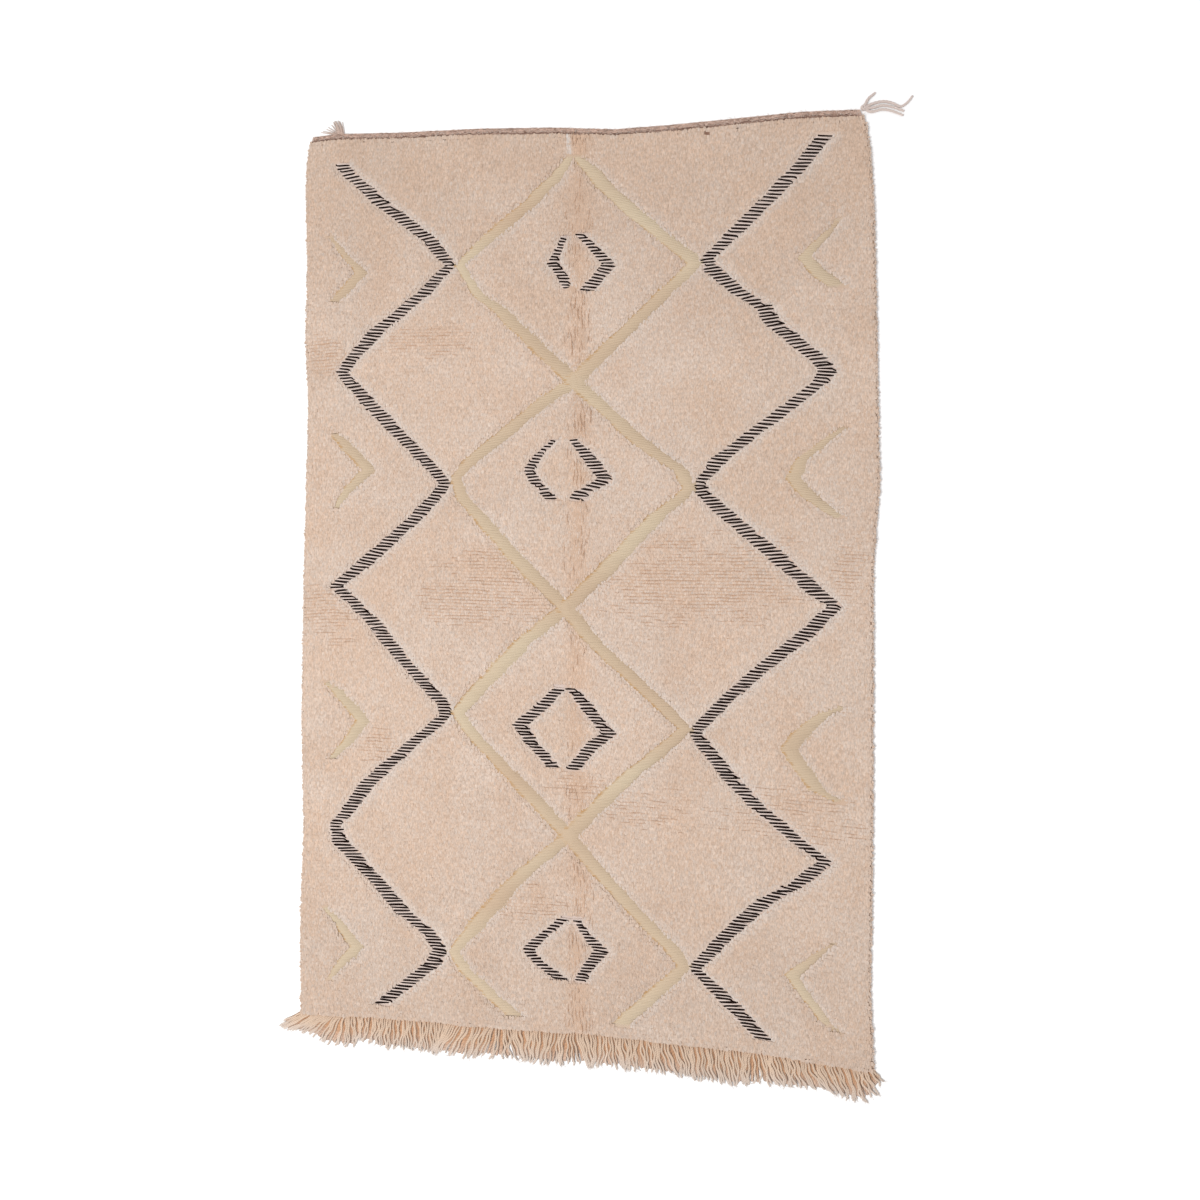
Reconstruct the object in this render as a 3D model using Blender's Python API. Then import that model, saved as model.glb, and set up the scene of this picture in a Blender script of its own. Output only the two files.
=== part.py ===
"""Beni Ourain rug: hand-knotted wool pile lying flat on the floor, fringed at one end.

Metres, +Z up, the length along Y, the fringe at -Y, the woven hem at +Y, underside on z = 0.
The cloth is described as it sat on the loom: x across from the middle, y up from the fringed
end, both in millimetres. cloth_point() carries loom places to the real, hand-made outline.
"""

import math

import bmesh
import bpy
import numpy as np
from mathutils import Vector
from mathutils.geometry import delaunay_2d_cdt

for old in list(bpy.data.objects):
    bpy.data.objects.remove(old, do_unlink=True)

MM = 0.001

# ---------------------------------------------------------------- sizes, in millimetres
LOOM_WIDTH, LOOM_LENGTH = 1500.0, 2450.0
ORIGIN = (-46.2, 25.1)  # middle of the finished rug, fringe and tassels included

# Where the four loom corners lie once the rug is off the loom: it is a little skewed.
CORNERS = {
    "near_left": (-840.0, -1139.0),
    "near_right": (703.0, -1192.0),
    "far_left": (-817.0, 1288.0),
    "far_right": (711.0, 1249.0),
}

# How far each hand-beaten edge wanders from the straight line between its corners.
# Sides: (share of the length from the fringe, millimetres towards +X).
LEFT_EDGE = ((0, 2), (0.10, -2), (0.22, 5), (0.34, -4), (0.50, -1), (0.58, 3), (0.69, 8), (0.77, -2),
             (0.86, 1), (0.94, -5), (0.97, -2), (0.985, 3), (1.0, 11))
RIGHT_EDGE = ((0, 4), (0.08, -5), (0.25, -1), (0.40, -1), (0.52, -2), (0.61, 13), (0.72, 7), (0.81, 3),
              (0.90, -3), (0.955, -12), (0.985, -24), (1.0, -38))
# Ends: (share of the width from the left, millimetres towards +Y).
NEAR_EDGE = ((0, -13), (0.10, -5), (0.22, 1), (0.37, 3), (0.54, 14), (0.66, 9), (0.80, 6), (0.95, -8),
             (1.0, -13))
FAR_EDGE = ((0, 0), (0.05, 6), (0.16, 2), (0.32, 3), (0.46, -3), (0.57, -15), (0.67, -10), (0.78, -1),
            (0.90, 9), (1.0, 8))

WEAVE_TOP = 5.0  # the flat-woven ground, seen at the hem
PILE_TOP = 14.6  # height of the knotted pile
PILE_LUMP = 2.0
HEM_DEPTH = 10.0
SIDE_LOCK, LOCK_REACH = 31.0, 4.2  # tufts spilling over the sides
EDGE_BULGE = 6.5  # height at which the pile is widest
SHOULDER = 13.0  # from the side to the full height of the pile
LUMP_PITCH = 55.0
CREASE_HALF, CREASE_DEPTH = 15.0, 3.4
BEND_PITCH = 75.0  # longest straight stretch of a woven line's edge

# Flat-woven lines sunk in the pile. Rows are (x, y, width across) from the hem downwards.
LEFT_ZIGZAG = (
    (-655, 2368, 36), (-636, 2344, 42), (-530, 2250, 46), (-406, 2150, 44), (-348, 2076, 34),
    (-423, 2000, 38),
    (-549, 1900, 46), (-652, 1788, 34), (-577, 1700, 46), (-426, 1550, 40), (-361, 1478, 36),
    (-425, 1400, 40), (-587, 1250, 48), (-657, 1194, 37), (-555, 1100, 46), (-473, 1000, 40),
    (-353, 875, 40), (-345, 845, 36), (-455, 750, 38), (-565, 650, 46), (-640, 550, 36),
    (-662, 530, 33), (-640, 480, 48), (-508, 350, 46), (-464, 300, 48), (-396, 250, 44),
    (-357, 200, 38), (-385, 155, 46), (-453, 100, 42), (-522, 42, 42),
)
RIGHT_ZIGZAG = (
    (647, 2388, 36), (567, 2300, 42), (460, 2200, 42), (350, 2100, 38), (332, 2084, 34),
    (351, 2050, 46), (403, 2000, 40), (470, 1950, 42), (505, 1900, 44), (617, 1800, 44),
    (632, 1782, 44), (610, 1750, 38), (548, 1700, 38), (415, 1600, 42), (354, 1550, 42),
    (308, 1492, 30), (316, 1465, 40), (388, 1400, 46), (512, 1300, 52), (625, 1200, 50),
    (656, 1176, 38), (587, 1100, 46), (470, 1000, 40), (368, 900, 40), (310, 830, 31), (333, 800, 42),
    (412, 700, 44), (461, 650, 42), (588, 550, 42), (637, 520, 42), (563, 450, 38), (488, 400, 44),
    (393, 300, 44), (314, 204, 30), (375, 150, 46), (482, 40, 42),
)
# The khaki lattice is two lines that cross on the middle of the rug.
FIRST_LATTICE = (
    (-16, 2372, 14), (-46, 2325, 27), (-71, 2300, 38), (-119, 2250, 42), (-241, 2150, 40),
    (-321, 2078, 22), (-276, 2000, 28), (-210, 1950, 40), (-56, 1800, 44), (-20, 1763, 46),
    (50, 1700, 44), (158, 1600, 46), (258, 1525, 38), (280, 1478, 30), (255, 1450, 40), (198, 1400, 44),
    (70, 1250, 50), (-25, 1150, 48), (-142, 1050, 48), (-277, 900, 46), (-313, 852, 34),
    (-279, 800, 36), (-182, 700, 40), (-23, 535, 46), (51, 450, 44), (150, 350, 46), (256, 250, 44),
    (287, 208, 32), (232, 150, 44), (118, 35, 40),
)
SECOND_LATTICE = (
    (3, 2371, 16), (27, 2348, 40), (68, 2298, 50), (170, 2196, 44), (280, 2098, 42), (300, 2074, 35),
    (277, 2050, 42), (217, 1996, 40), (116, 1896, 42), (18, 1796, 42), (-22, 1757, 46),
    (-110, 1697, 42), (-227, 1597, 44), (-288, 1547, 42), (-334, 1495, 24), (-318, 1446, 34),
    (-226, 1346, 40), (-129, 1246, 46), (-26, 1145, 48), (58, 1047, 44), (172, 947, 44), (226, 897, 44),
    (284, 840, 36), (242, 796, 42), (131, 697, 44), (-22, 529, 46), (-115, 446, 44), (-166, 397, 46),
    (-245, 297, 46), (-322, 198, 27), (-287, 148, 34), (-160, 37, 42),
)
# Small lozenges down the middle, each in two arms that hardly meet.
LOZENGE_LEFT_ARMS = (
    ((-37, 2155, 12), (-62, 2100, 22), (-67, 2078, 34), (-42, 2040, 30), (-30, 2012, 22)),
    ((-70, 1603, 14), (-120, 1550, 20), (-138, 1520, 30), (-109, 1475, 28), (-72, 1440, 36)),
    ((-38, 934, 28), (-94, 875, 40), (-146, 826, 42), (-115, 780, 38), (-58, 716, 30)),
    ((-24, 308, 32), (-63, 275, 24), (-121, 218, 36), (-105, 198, 30), (-36, 143, 42)),
)
LOZENGE_RIGHT_ARMS = (
    ((4, 2162, 30), (42, 2120, 28), (80, 2080, 38), (46, 2040, 36), (22, 2008, 34)),
    ((-25, 1608, 20), (20, 1560, 38), (64, 1502, 44), (36, 1478, 38), (3, 1460, 38), (-6, 1443, 42)),
    ((-7, 932, 26), (16, 900, 36), (88, 815, 42), (38, 770, 40), (-8, 712, 34)),
    ((6, 308, 22), (31, 270, 26), (74, 228, 38), (47, 190, 34), (14, 141, 32)),
)
# Open khaki chevrons that fill the zigzags from the sides.
CHEVRONS = (
    ((-686, 2166, 8), (-640, 2108, 18), (-596, 2062, 36), (-640, 2013, 28), (-672, 1984, 18)),
    ((-676, 1616, 10), (-646, 1590, 30), (-602, 1545, 38), (-576, 1516, 40), (-636, 1455, 24),
     (-662, 1412, 12)),
    ((-684, 926, 8), (-652, 904, 26), (-597, 845, 38), (-578, 820, 36), (-626, 757, 28), (-664, 716, 12)),
    ((-682, 300, 8), (-655, 275, 20), (-606, 214, 38), (-590, 194, 38), (-638, 142, 26), (-668, 104, 10)),
    ((664, 2166, 8), (616, 2113, 22), (575, 2072, 34), (602, 2043, 42), (631, 2015, 50), (654, 1994, 38)),
    ((664, 1630, 8), (622, 1600, 20), (562, 1550, 26), (540, 1503, 34), (586, 1452, 42), (659, 1403, 22)),
    ((680, 924, 8), (635, 900, 28), (578, 850, 38), (545, 800, 42), (615, 700, 36), (668, 677, 12)),
    ((660, 312, 8), (632, 290, 16), (556, 216, 34), (584, 180, 30), (636, 110, 24), (668, 90, 10)),
)
# Where the rug was once folded in half, as (x, y) from the fringe up: the pile is parted there.
CREASE = ((3, 0), (8, 353), (-3, 896), (-8, 1440), (-11, 1984), (2, 2450))

GAP = 0.5  # between the cloth and what hangs from it
# Fringe of warp ends. Rows are (share of the width, drop from the cloth, sideways lean).
FRINGE = (
    (0.000, 26, -58), (0.012, 46, -84), (0.030, 56, -76), (0.055, 56, -54), (0.071, 62, -30),
    (0.080, 92, -14), (0.100, 98, -12), (0.120, 92, -6), (0.160, 84, -4), (0.260, 90, -2),
    (0.360, 86, 4), (0.450, 92, 2), (0.540, 91, 0), (0.620, 86, 2), (0.700, 92, 6), (0.780, 96, 8),
    (0.830, 80, 8), (0.890, 76, 16), (0.945, 84, 32), (0.968, 88, 34), (0.982, 66, 30), (1.000, 26, 26),
)
STRANDS = 200
STRAND_WIDE, STRAND_HIGH = 5.8, 4.2
BACKING_DEPTH, BACKING_HIGH = 7.0, 4.2

TASSEL_HEAD_RADIUS, TASSEL_HEAD_HIGH = 9.0, 10.0
TASSEL_TOWARDS = (0.91, 0.41)  # from the cloth's corner to the knotted head
# The tassel's strands, from the middle of the knot: (width, x and y of each bend ...).
TASSEL_STRANDS = (
    (7.0, (12, 22), (21, 30), (30, 37)),
    (8.0, (23, 9), (49, 13), (72, 7), (92, -3), (109, 6), (122, 22)),
    (7.5, (23, -1), (48, 3), (73, -3), (101, -15)),
    (7.0, (20, -11), (46, -7), (71, -13), (99, -26)),
)
TUFT_SHARE, TUFT_WIDE, TUFT_DEEP = 0.053, 27.0, 7.0  # place along the hem, size of its root
# The tuft's strands from left to right: (reach in x, reach in y).
TUFT_STRANDS = ((-47, 8), (-30, 20), (-15, 33), (-14, 37), (-13, 39), (-11, 39), (-9, 38), (-6, 34))

rng = np.random.default_rng(1407)


# ---------------------------------------------------------------- the cloth's own shape
def wander(share, table):
    """Sideways wander of an edge at shares of its length, in millimetres."""
    at, off = np.array(table, float).T
    return np.interp(share, at, off)


def cloth_point(x, y):
    """Carries loom places, in millimetres, to the rug's plan, in millimetres.

    The corners are blended in both directions, and each edge's wander fades across the cloth.
    """
    u = np.asarray(x, float) / LOOM_WIDTH + 0.5
    v = np.asarray(y, float) / LOOM_LENGTH
    near = np.outer(1 - u, CORNERS["near_left"]) + np.outer(u, CORNERS["near_right"])
    far = np.outer(1 - u, CORNERS["far_left"]) + np.outer(u, CORNERS["far_right"])
    plan = near * (1 - v)[:, None] + far * v[:, None]
    plan[:, 0] += (1 - u) * wander(v, LEFT_EDGE) + u * wander(v, RIGHT_EDGE)
    plan[:, 1] += (1 - v) * wander(u, NEAR_EDGE) + v * wander(u, FAR_EDGE)
    return plan - np.array(ORIGIN)


def crease_x(y):
    """Where the old fold runs, across the loom, at the heights y."""
    at, up = np.array(CREASE, float).T
    return np.interp(y, up, at)


def pile_height(x, y):
    """Height of the lumpy pile over loom places, parted along the old fold."""
    wave = np.sin(x / 97 + 1.3 * np.sin(y / 160)) + np.sin(y / 71 + 0.9) * np.cos(x / 143 + y / 380)
    parted = CREASE_DEPTH * np.clip(1 - np.abs(x - crease_x(y)) / CREASE_HALF, 0, 1)
    return PILE_TOP + 0.5 * PILE_LUMP * wave + PILE_LUMP * rng.uniform(-0.5, 0.5, len(x)) - parted


# ---------------------------------------------------------------- small modelling steps
def spaced(start, stop, pitch):
    """Even places from start to stop, both kept."""
    return np.linspace(start, stop, max(2, round(abs(stop - start) / pitch) + 1))


def slab(bm, outline, low, high):
    """Extrudes a flat outline from one height to another; gives the wall over each outline edge."""
    floor = [bm.verts.new((x * MM, y * MM, low * MM)) for x, y in outline]
    base = bm.faces.new(floor)
    raised = bmesh.ops.extrude_face_region(bm, geom=[base], use_keep_orig=True)["geom"]
    bmesh.ops.translate(bm, verts=[g for g in raised if isinstance(g, bmesh.types.BMVert)],
                        vec=(0, 0, (high - low) * MM))
    walls = []
    for one, other in zip(floor, floor[1:] + floor[:1]):
        edge = bm.edges.get((one, other))
        walls.append(next(face for face in edge.link_faces if face is not base))
    return walls


def grow_strand(bm, face, path, wide, high):
    """Extrudes a wall into a four-sided strand that lies on the floor along path.

    path holds plan places in millimetres; wide and high hold the strand's size at each of them.
    """
    middle = face.calc_center_median() / MM
    before = Vector(middle[:2])
    for place, across, up in zip(path, wide, high):
        here = Vector(place)
        ahead = (here - before).normalized()
        side = Vector((-ahead.y, ahead.x))
        face = bmesh.ops.extrude_discrete_faces(bm, faces=[face])["faces"][0]
        centre = face.calc_center_median()
        for vert in face.verts:
            left = (Vector(vert.co[:2]) - Vector(centre[:2])).dot(side) > 0
            spot = here + side * across * (0.5 if left else -0.5)
            vert.co = (spot.x * MM, spot.y * MM, (up if vert.co.z > centre.z else 0) * MM)
        before = here


def outward(bm):
    bmesh.ops.recalc_face_normals(bm, faces=bm.faces)
    return bm


# ---------------------------------------------------------------- the rug's body
def side_locks(y):
    """How far the tufts at a side reach past the cloth: rounded locks of unlike sizes."""
    lock = np.floor(y / SIDE_LOCK).astype(int)
    size = rng.uniform(0.45, 1.25, lock.max() + 2)[lock]
    return LOCK_REACH * size * np.abs(np.sin(math.pi * y / SIDE_LOCK))


def rim_rings():
    """The outline, anticlockwise, at the floor and where the pile is widest: plan places and heights."""
    half, top = LOOM_WIDTH / 2, LOOM_LENGTH
    side_y = spaced(0, top, SIDE_LOCK / 3)
    near_x, far_x = spaced(-half, half, 26), spaced(half, -half, 42)
    near = cloth_point(near_x, np.zeros_like(near_x))
    far = cloth_point(far_x, np.full_like(far_x, top))
    right = cloth_point(np.full_like(side_y, half), side_y)[1:-1]
    left = cloth_point(np.full_like(side_y, -half), side_y[::-1])[1:-1]
    fade = np.clip((top - side_y) / 60, 0, 1)[1:-1]
    right_reach = side_locks(side_y)[1:-1] * fade
    left_reach = (side_locks(side_y)[1:-1] * fade)[::-1]
    floor = np.concatenate([near, right, far, left])
    wide = np.concatenate([near, right + np.c_[right_reach, 0 * right_reach], far,
                           left - np.c_[left_reach, 0 * left_reach]])
    side_high = WEAVE_TOP + (EDGE_BULGE - WEAVE_TOP) * fade
    high = np.concatenate([np.full(len(near), EDGE_BULGE), side_high, np.full(len(far), WEAVE_TOP),
                           side_high[::-1]])
    return floor, wide, high


def inner_points():
    """Places inside the outline with their heights, and the runs of them that are folds.

    Folds come first: the hem's two lines, the shoulders of the pile and its parting. Lumps fill
    the rest.
    """
    half, top = LOOM_WIDTH / 2, LOOM_LENGTH
    hem_x = spaced(-half + 12, half - 12, 50)
    rows = [(hem_x, np.full_like(hem_x, top - HEM_DEPTH), np.full_like(hem_x, WEAVE_TOP)),
            (hem_x, np.full_like(hem_x, top - HEM_DEPTH - 4), None)]
    side_y = spaced(SHOULDER, top - HEM_DEPTH - 34, SIDE_LOCK)
    for x in (-half + SHOULDER, half - SHOULDER):
        rows.append((np.full_like(side_y, x), side_y, None))
    near_x = spaced(-half + 34, half - 34, 40)
    rows.append((near_x, np.full_like(near_x, SHOULDER), None))

    fold_y = spaced(SHOULDER + 30, top - HEM_DEPTH - 40, LUMP_PITCH)
    for step in (-1.1, 0, 1.1):
        rows.append((crease_x(fold_y) + step * CREASE_HALF, fold_y, None))
    starts = np.cumsum([0] + [len(r[0]) for r in rows])
    folds = [(i, i + 1) for a, b in zip(starts, starts[1:]) for i in range(a, b - 1)]

    lump_x = spaced(-half + SHOULDER + 48, half - SHOULDER - 48, LUMP_PITCH)
    lump_y = spaced(SHOULDER + 45, top - HEM_DEPTH - 55, LUMP_PITCH)
    gx, gy = (g.ravel() for g in np.meshgrid(lump_x, lump_y))
    gx = gx + rng.uniform(-9, 9, len(gx))
    gy = gy + rng.uniform(-9, 9, len(gy))
    clear = np.abs(gx - crease_x(gy)) > 2.2 * CREASE_HALF
    rows.append((gx[clear], gy[clear], None))

    x = np.concatenate([r[0] for r in rows])
    y = np.concatenate([r[1] for r in rows])
    high = np.concatenate([pile_height(r[0], r[1]) if r[2] is None else r[2] for r in rows])
    return cloth_point(x, y), high, folds


def rug_body():
    """One closed slab: flat underside, locks along the sides, flat hem and lumpy pile on top.

    The top is a Delaunay surface through the rim, the folds and the lumps; its rim is then
    joined to the outline on the floor.
    """
    floor, wide, high = rim_rings()
    inner, inner_high, folds = inner_points()
    count = len(wide)
    height = np.concatenate([high, inner_high])
    ring = [(i, (i + 1) % count) for i in range(count)]
    kept = ring + [(i + count, j + count) for i, j in folds]
    places = [Vector(p) for p in np.concatenate([wide, inner])]
    found, _, faces, origins, _, _ = delaunay_2d_cdt(places, kept, [list(range(count))], 1, 1e-4)

    bm = bmesh.new()
    top = [bm.verts.new((p.x * MM, p.y * MM, height[src[0]] * MM)) for p, src in zip(found, origins)]
    rim = {src[0]: vert for vert, src in zip(top, origins)}
    for face in faces:
        bm.faces.new([top[i] for i in face])
    under = bm.faces.new([bm.verts.new((x * MM, y * MM, 0)) for x, y in floor])
    low = list(under.verts)
    for i, j in ring:
        bm.faces.new((low[i], low[j], rim[j], rim[i]))
    return outward(bm)


# ---------------------------------------------------------------- the sunk lines
def line_cutter(name, lines, floor_high):
    """Cutters over woven lines: each runs from floor_high to above the pile, wide as its rows say."""
    bm = bmesh.new()
    for rows in lines:
        x, y, wide = np.array(rows, float)[::-1].T
        fine = np.unique(np.concatenate([spaced(a, b, BEND_PITCH) for a, b in zip(y, y[1:])]))
        centre = np.interp(fine, y, x) + rng.uniform(-1.5, 1.5, len(fine))
        half = np.interp(fine, y, wide) / 2
        outline = np.concatenate([cloth_point(centre + half, fine), cloth_point(centre - half, fine)[::-1]])
        slab(bm, outline, floor_high, PILE_TOP + 12)
    cutter = finished(name, outward(bm), cutters)
    cutter.hide_render = True
    cutter.display_type = "WIRE"
    return cutter


def sink(body, cutter):
    """Cuts the lines out of the pile."""
    cut = body.modifiers.new("sunk_" + cutter.name, "BOOLEAN")
    cut.operation = "DIFFERENCE"
    cut.solver = "EXACT"
    cut.object = cutter


# ---------------------------------------------------------------- fringe, tassel and tuft
def comb(bm, front, run, wide, back, high):
    """A narrow backing whose front edge has one wall for each strand, with a little space between.

    front and run hold each root's middle and direction along the edge; back is the far line, left
    to right. Gives the walls that the strands grow from.
    """
    half = np.asarray(wide)[:, None] / 2
    teeth = np.stack([front - run * half, front + run * half], axis=1).reshape(-1, 2)
    walls = slab(bm, np.concatenate([teeth, back[::-1]]), 0, high)
    return walls[0:2 * len(front):2]


def fringe():
    """Warp ends running out of one narrow backing along the near end of the cloth."""
    share = np.linspace(0, 1, STRANDS)
    at, drop_at, lean_at = np.array(FRINGE, float).T
    drop = np.interp(share, at, drop_at) * rng.uniform(0.94, 1.05, STRANDS)
    grouped = 7.0 * np.sin(2 * math.pi * share * 13 + 2.2 * np.sin(share * 19))
    calm = np.clip(np.minimum(share - 0.10, 0.93 - share) / 0.05, 0, 1)
    lean = np.interp(share, at, lean_at) + grouped * calm
    pitch = LOOM_WIDTH / STRANDS
    wide = np.minimum(STRAND_WIDE, 0.78 * pitch * np.cos(np.arctan2(np.abs(lean), drop)))

    edge = cloth_point((share - 0.5) * (LOOM_WIDTH - pitch), np.zeros(STRANDS))
    run = np.gradient(edge, axis=0)
    run /= np.linalg.norm(run, axis=1)[:, None]
    out = np.c_[run[:, 1], -run[:, 0]]
    front = edge + out * (GAP + BACKING_DEPTH)
    back_x = spaced(-LOOM_WIDTH / 2 + 1, LOOM_WIDTH / 2 - 1, 40)
    back = cloth_point(back_x, np.zeros_like(back_x)) + np.array((0, -GAP))

    bm = bmesh.new()
    for i, wall in enumerate(comb(bm, front, run, wide, back, BACKING_HIGH)):
        along, aside = out[i] * (drop[i] - BACKING_DEPTH), np.array((lean[i], 0))
        path = [front[i] + along * t + aside * t**1.25 for t in (0.36, 0.70, 1.0)]
        high = STRAND_HIGH * rng.uniform(0.8, 1.1, 3) * (1, 0.9, 0.5)
        grow_strand(bm, wall, path, wide[i] * np.array((0.95, 0.85, 0.55)), high)
    return outward(bm)


def corner_tassel():
    """A knotted head by the far right corner with four loose strands lying on the floor."""
    bm = bmesh.new()
    bmesh.ops.create_uvsphere(bm, u_segments=12, v_segments=6, radius=TASSEL_HEAD_RADIUS * MM)
    for vert in bm.verts:
        vert.co.z = max(0, 0.5 * TASSEL_HEAD_HIGH * (1 + 1.25 * vert.co.z / (TASSEL_HEAD_RADIUS * MM)) * MM)
    bmesh.ops.dissolve_limit(bm, angle_limit=0.01, verts=bm.verts, edges=bm.edges)
    walls = [f for f in bm.faces if abs(f.calc_center_median().z / MM - 0.5 * TASSEL_HEAD_HIGH) < 3
             and len(f.verts) == 4]
    for wide, *reach in TASSEL_STRANDS:
        first = Vector(reach[0]).normalized()
        wall = max(walls, key=lambda f: Vector(f.calc_center_median()[:2]).normalized().dot(first))
        walls.remove(wall)
        count = len(reach)
        grow_strand(bm, wall, reach, np.linspace(wide, 0.55 * wide, count), np.linspace(5.0, 3.0, count))
    return outward(bm)


def corner_tuft(run):
    """A short tuft of warp ends leaning out of the hem, along the hem's own direction."""
    out = np.array((-run[1], run[0]))
    count = len(TUFT_STRANDS)
    pitch = TUFT_WIDE / count
    wide = np.full(count, 0.84 * pitch)
    # The comb's front faces away from the cloth, so it is laid from right to left.
    at = pitch * (np.arange(count) - (count - 1) / 2)[::-1, None]
    back = np.array((0.5, -0.5))[:, None] * run * TUFT_WIDE
    bm = bmesh.new()
    walls = comb(bm, out * TUFT_DEEP + run * at, -np.tile(run, (count, 1)), wide, back, WEAVE_TOP)
    for (reach_x, reach_y), wall in zip(TUFT_STRANDS[::-1], walls):
        root = np.array(wall.calc_center_median()[:2]) / MM
        path = [root + np.array((reach_x * t**1.3, reach_y * t)) for t in (0.35, 0.7, 1.0)]
        grow_strand(bm, wall, path, wide[0] * np.array((0.95, 0.9, 0.6)), (5.4, 4.8, 2.4))
    return outward(bm)


# ---------------------------------------------------------------- assembly
rug = bpy.data.collections.new("beni_ourain_rug")
cutters = bpy.data.collections.new("cutters")
for group in (rug, cutters):
    bpy.context.scene.collection.children.link(group)
holder = bpy.data.objects.new("rug_origin", None)
rug.objects.link(holder)


def wool(name, colour):
    material = bpy.data.materials.new(name)
    material.use_nodes = True
    shader = material.node_tree.nodes["Principled BSDF"]
    shader.inputs["Base Color"].default_value = (*colour, 1)
    shader.inputs["Roughness"].default_value = 0.95
    shader.inputs["Sheen Weight"].default_value = 0.3
    return material


def finished(name, bm, group, material=None, place=(0, 0)):
    """Makes an object of a mesh, at a plan place in millimetres."""
    mesh = bpy.data.meshes.new(name)
    bm.to_mesh(mesh)
    bm.free()
    made = bpy.data.objects.new(name, mesh)
    made.location = (place[0] * MM, place[1] * MM, 0)
    made.parent = holder if group is rug else None
    group.objects.link(made)
    if material:
        mesh.materials.append(material)
    return made


body = finished("rug_body", rug_body(), rug, wool("pile_wool", (0.66, 0.50, 0.39)))
# Each set of lines has its own depth, so that crossing lines lie one under the other.
sink(body, line_cutter("zigzag_lines", (LEFT_ZIGZAG, RIGHT_ZIGZAG), 7.6))
sink(body, line_cutter("first_lattice_line", (FIRST_LATTICE,), 7.2))
sink(body, line_cutter("second_lattice_line", (SECOND_LATTICE,), 6.8))
sink(body, line_cutter("lozenge_left_arms", LOZENGE_LEFT_ARMS, 7.6))
sink(body, line_cutter("lozenge_right_arms", LOZENGE_RIGHT_ARMS, 7.4))
sink(body, line_cutter("chevron_lines", CHEVRONS, 7.2))

finished("fringe", fringe(), rug, wool("fringe_wool", (0.63, 0.47, 0.37)))

corner = cloth_point([LOOM_WIDTH / 2], [LOOM_LENGTH])[0]
knot = corner + np.array(TASSEL_TOWARDS) * (TASSEL_HEAD_RADIUS + GAP + 0.2)
finished("corner_tassel", corner_tassel(), rug, wool("tassel_wool", (0.72, 0.60, 0.53)), knot)

tuft_x = (TUFT_SHARE - 0.5) * LOOM_WIDTH
hem_at, hem_beside = cloth_point([tuft_x, tuft_x + 10], [LOOM_LENGTH, LOOM_LENGTH])
along_hem = (hem_beside - hem_at) / np.linalg.norm(hem_beside - hem_at)
tuft_place = hem_at + np.array((-along_hem[1], along_hem[0])) * (GAP + 0.3)
finished("corner_tuft", corner_tuft(along_hem), rug, wool("tuft_wool", (0.55, 0.44, 0.38)), tuft_place)
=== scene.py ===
# %% [markdown]
# # A Beni Ourain rug
# The real thing is a hand-knotted wool rug about 1.5 m wide and 2.5 m long. It has a cream pile,
# dark zigzags and a khaki lattice that are woven flat between the knots, a narrow woven hem at
# one end and a fringe of warp ends at the other. This lesson dresses its plain solids as wool.
# Everything is worked out with numpy as whole arrays and then handed to Blender as meshes.

# %% Load the plain solids
import math

import bpy
import numpy as np
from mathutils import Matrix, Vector


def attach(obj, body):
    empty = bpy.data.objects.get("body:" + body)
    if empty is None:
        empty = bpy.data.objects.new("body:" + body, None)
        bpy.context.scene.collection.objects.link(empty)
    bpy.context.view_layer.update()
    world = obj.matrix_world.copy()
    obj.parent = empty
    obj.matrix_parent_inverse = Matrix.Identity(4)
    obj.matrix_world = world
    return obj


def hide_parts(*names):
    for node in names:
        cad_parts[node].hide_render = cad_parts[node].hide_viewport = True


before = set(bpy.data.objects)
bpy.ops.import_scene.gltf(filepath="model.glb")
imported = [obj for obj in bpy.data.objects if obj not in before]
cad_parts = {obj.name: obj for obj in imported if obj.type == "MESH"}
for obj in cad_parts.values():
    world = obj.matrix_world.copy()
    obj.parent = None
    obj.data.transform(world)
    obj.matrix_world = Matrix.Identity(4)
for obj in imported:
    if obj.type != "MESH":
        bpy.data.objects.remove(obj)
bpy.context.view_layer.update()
MM = 0.001
print("solids:", sorted(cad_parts))

# %% [markdown]
# ## The rug as it sat on the loom
# A weaver places a pattern by counting rows and warps, so the pattern is straight on the loom
# and a little skewed on the floor. It could be drawn on the skewed outline directly, but then
# each line would need its own correction. Here every place is given on the loom in millimetres,
# x across from the middle and y up from the fringed end, and one function lays it on the floor.

# %% Loom sizes and the outline's wander
LOOM_WIDTH, LOOM_LENGTH = 1500.0, 2450.0
HALF = LOOM_WIDTH / 2
ORIGIN = (-46.2, 25.1)
CORNERS = {
    "near_left": (-840.0, -1139.0),
    "near_right": (703.0, -1192.0),
    "far_left": (-817.0, 1288.0),
    "far_right": (711.0, 1249.0),
}
# Rows are (share of the length or width, wander in millimetres).
LEFT_EDGE = ((0, 2), (0.10, -2), (0.22, 5), (0.34, -4), (0.50, -1), (0.58, 3), (0.69, 8), (0.77, -2),
             (0.86, 1), (0.94, -5), (0.97, -2), (0.985, 3), (1.0, 11))
RIGHT_EDGE = ((0, 4), (0.08, -5), (0.25, -1), (0.40, -1), (0.52, -2), (0.61, 13), (0.72, 7), (0.81, 3),
              (0.90, -3), (0.955, -12), (0.985, -24), (1.0, -38))
NEAR_EDGE = ((0, -13), (0.10, -5), (0.22, 1), (0.37, 3), (0.54, 14), (0.66, 9), (0.80, 6), (0.95, -8),
             (1.0, -13))
FAR_EDGE = ((0, 0), (0.05, 6), (0.16, 2), (0.32, 3), (0.46, -3), (0.57, -15), (0.67, -10), (0.78, -1),
            (0.90, 9), (1.0, 8))
PILE_TOP = 14.6
HEM_DEPTH = 16.0


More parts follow.
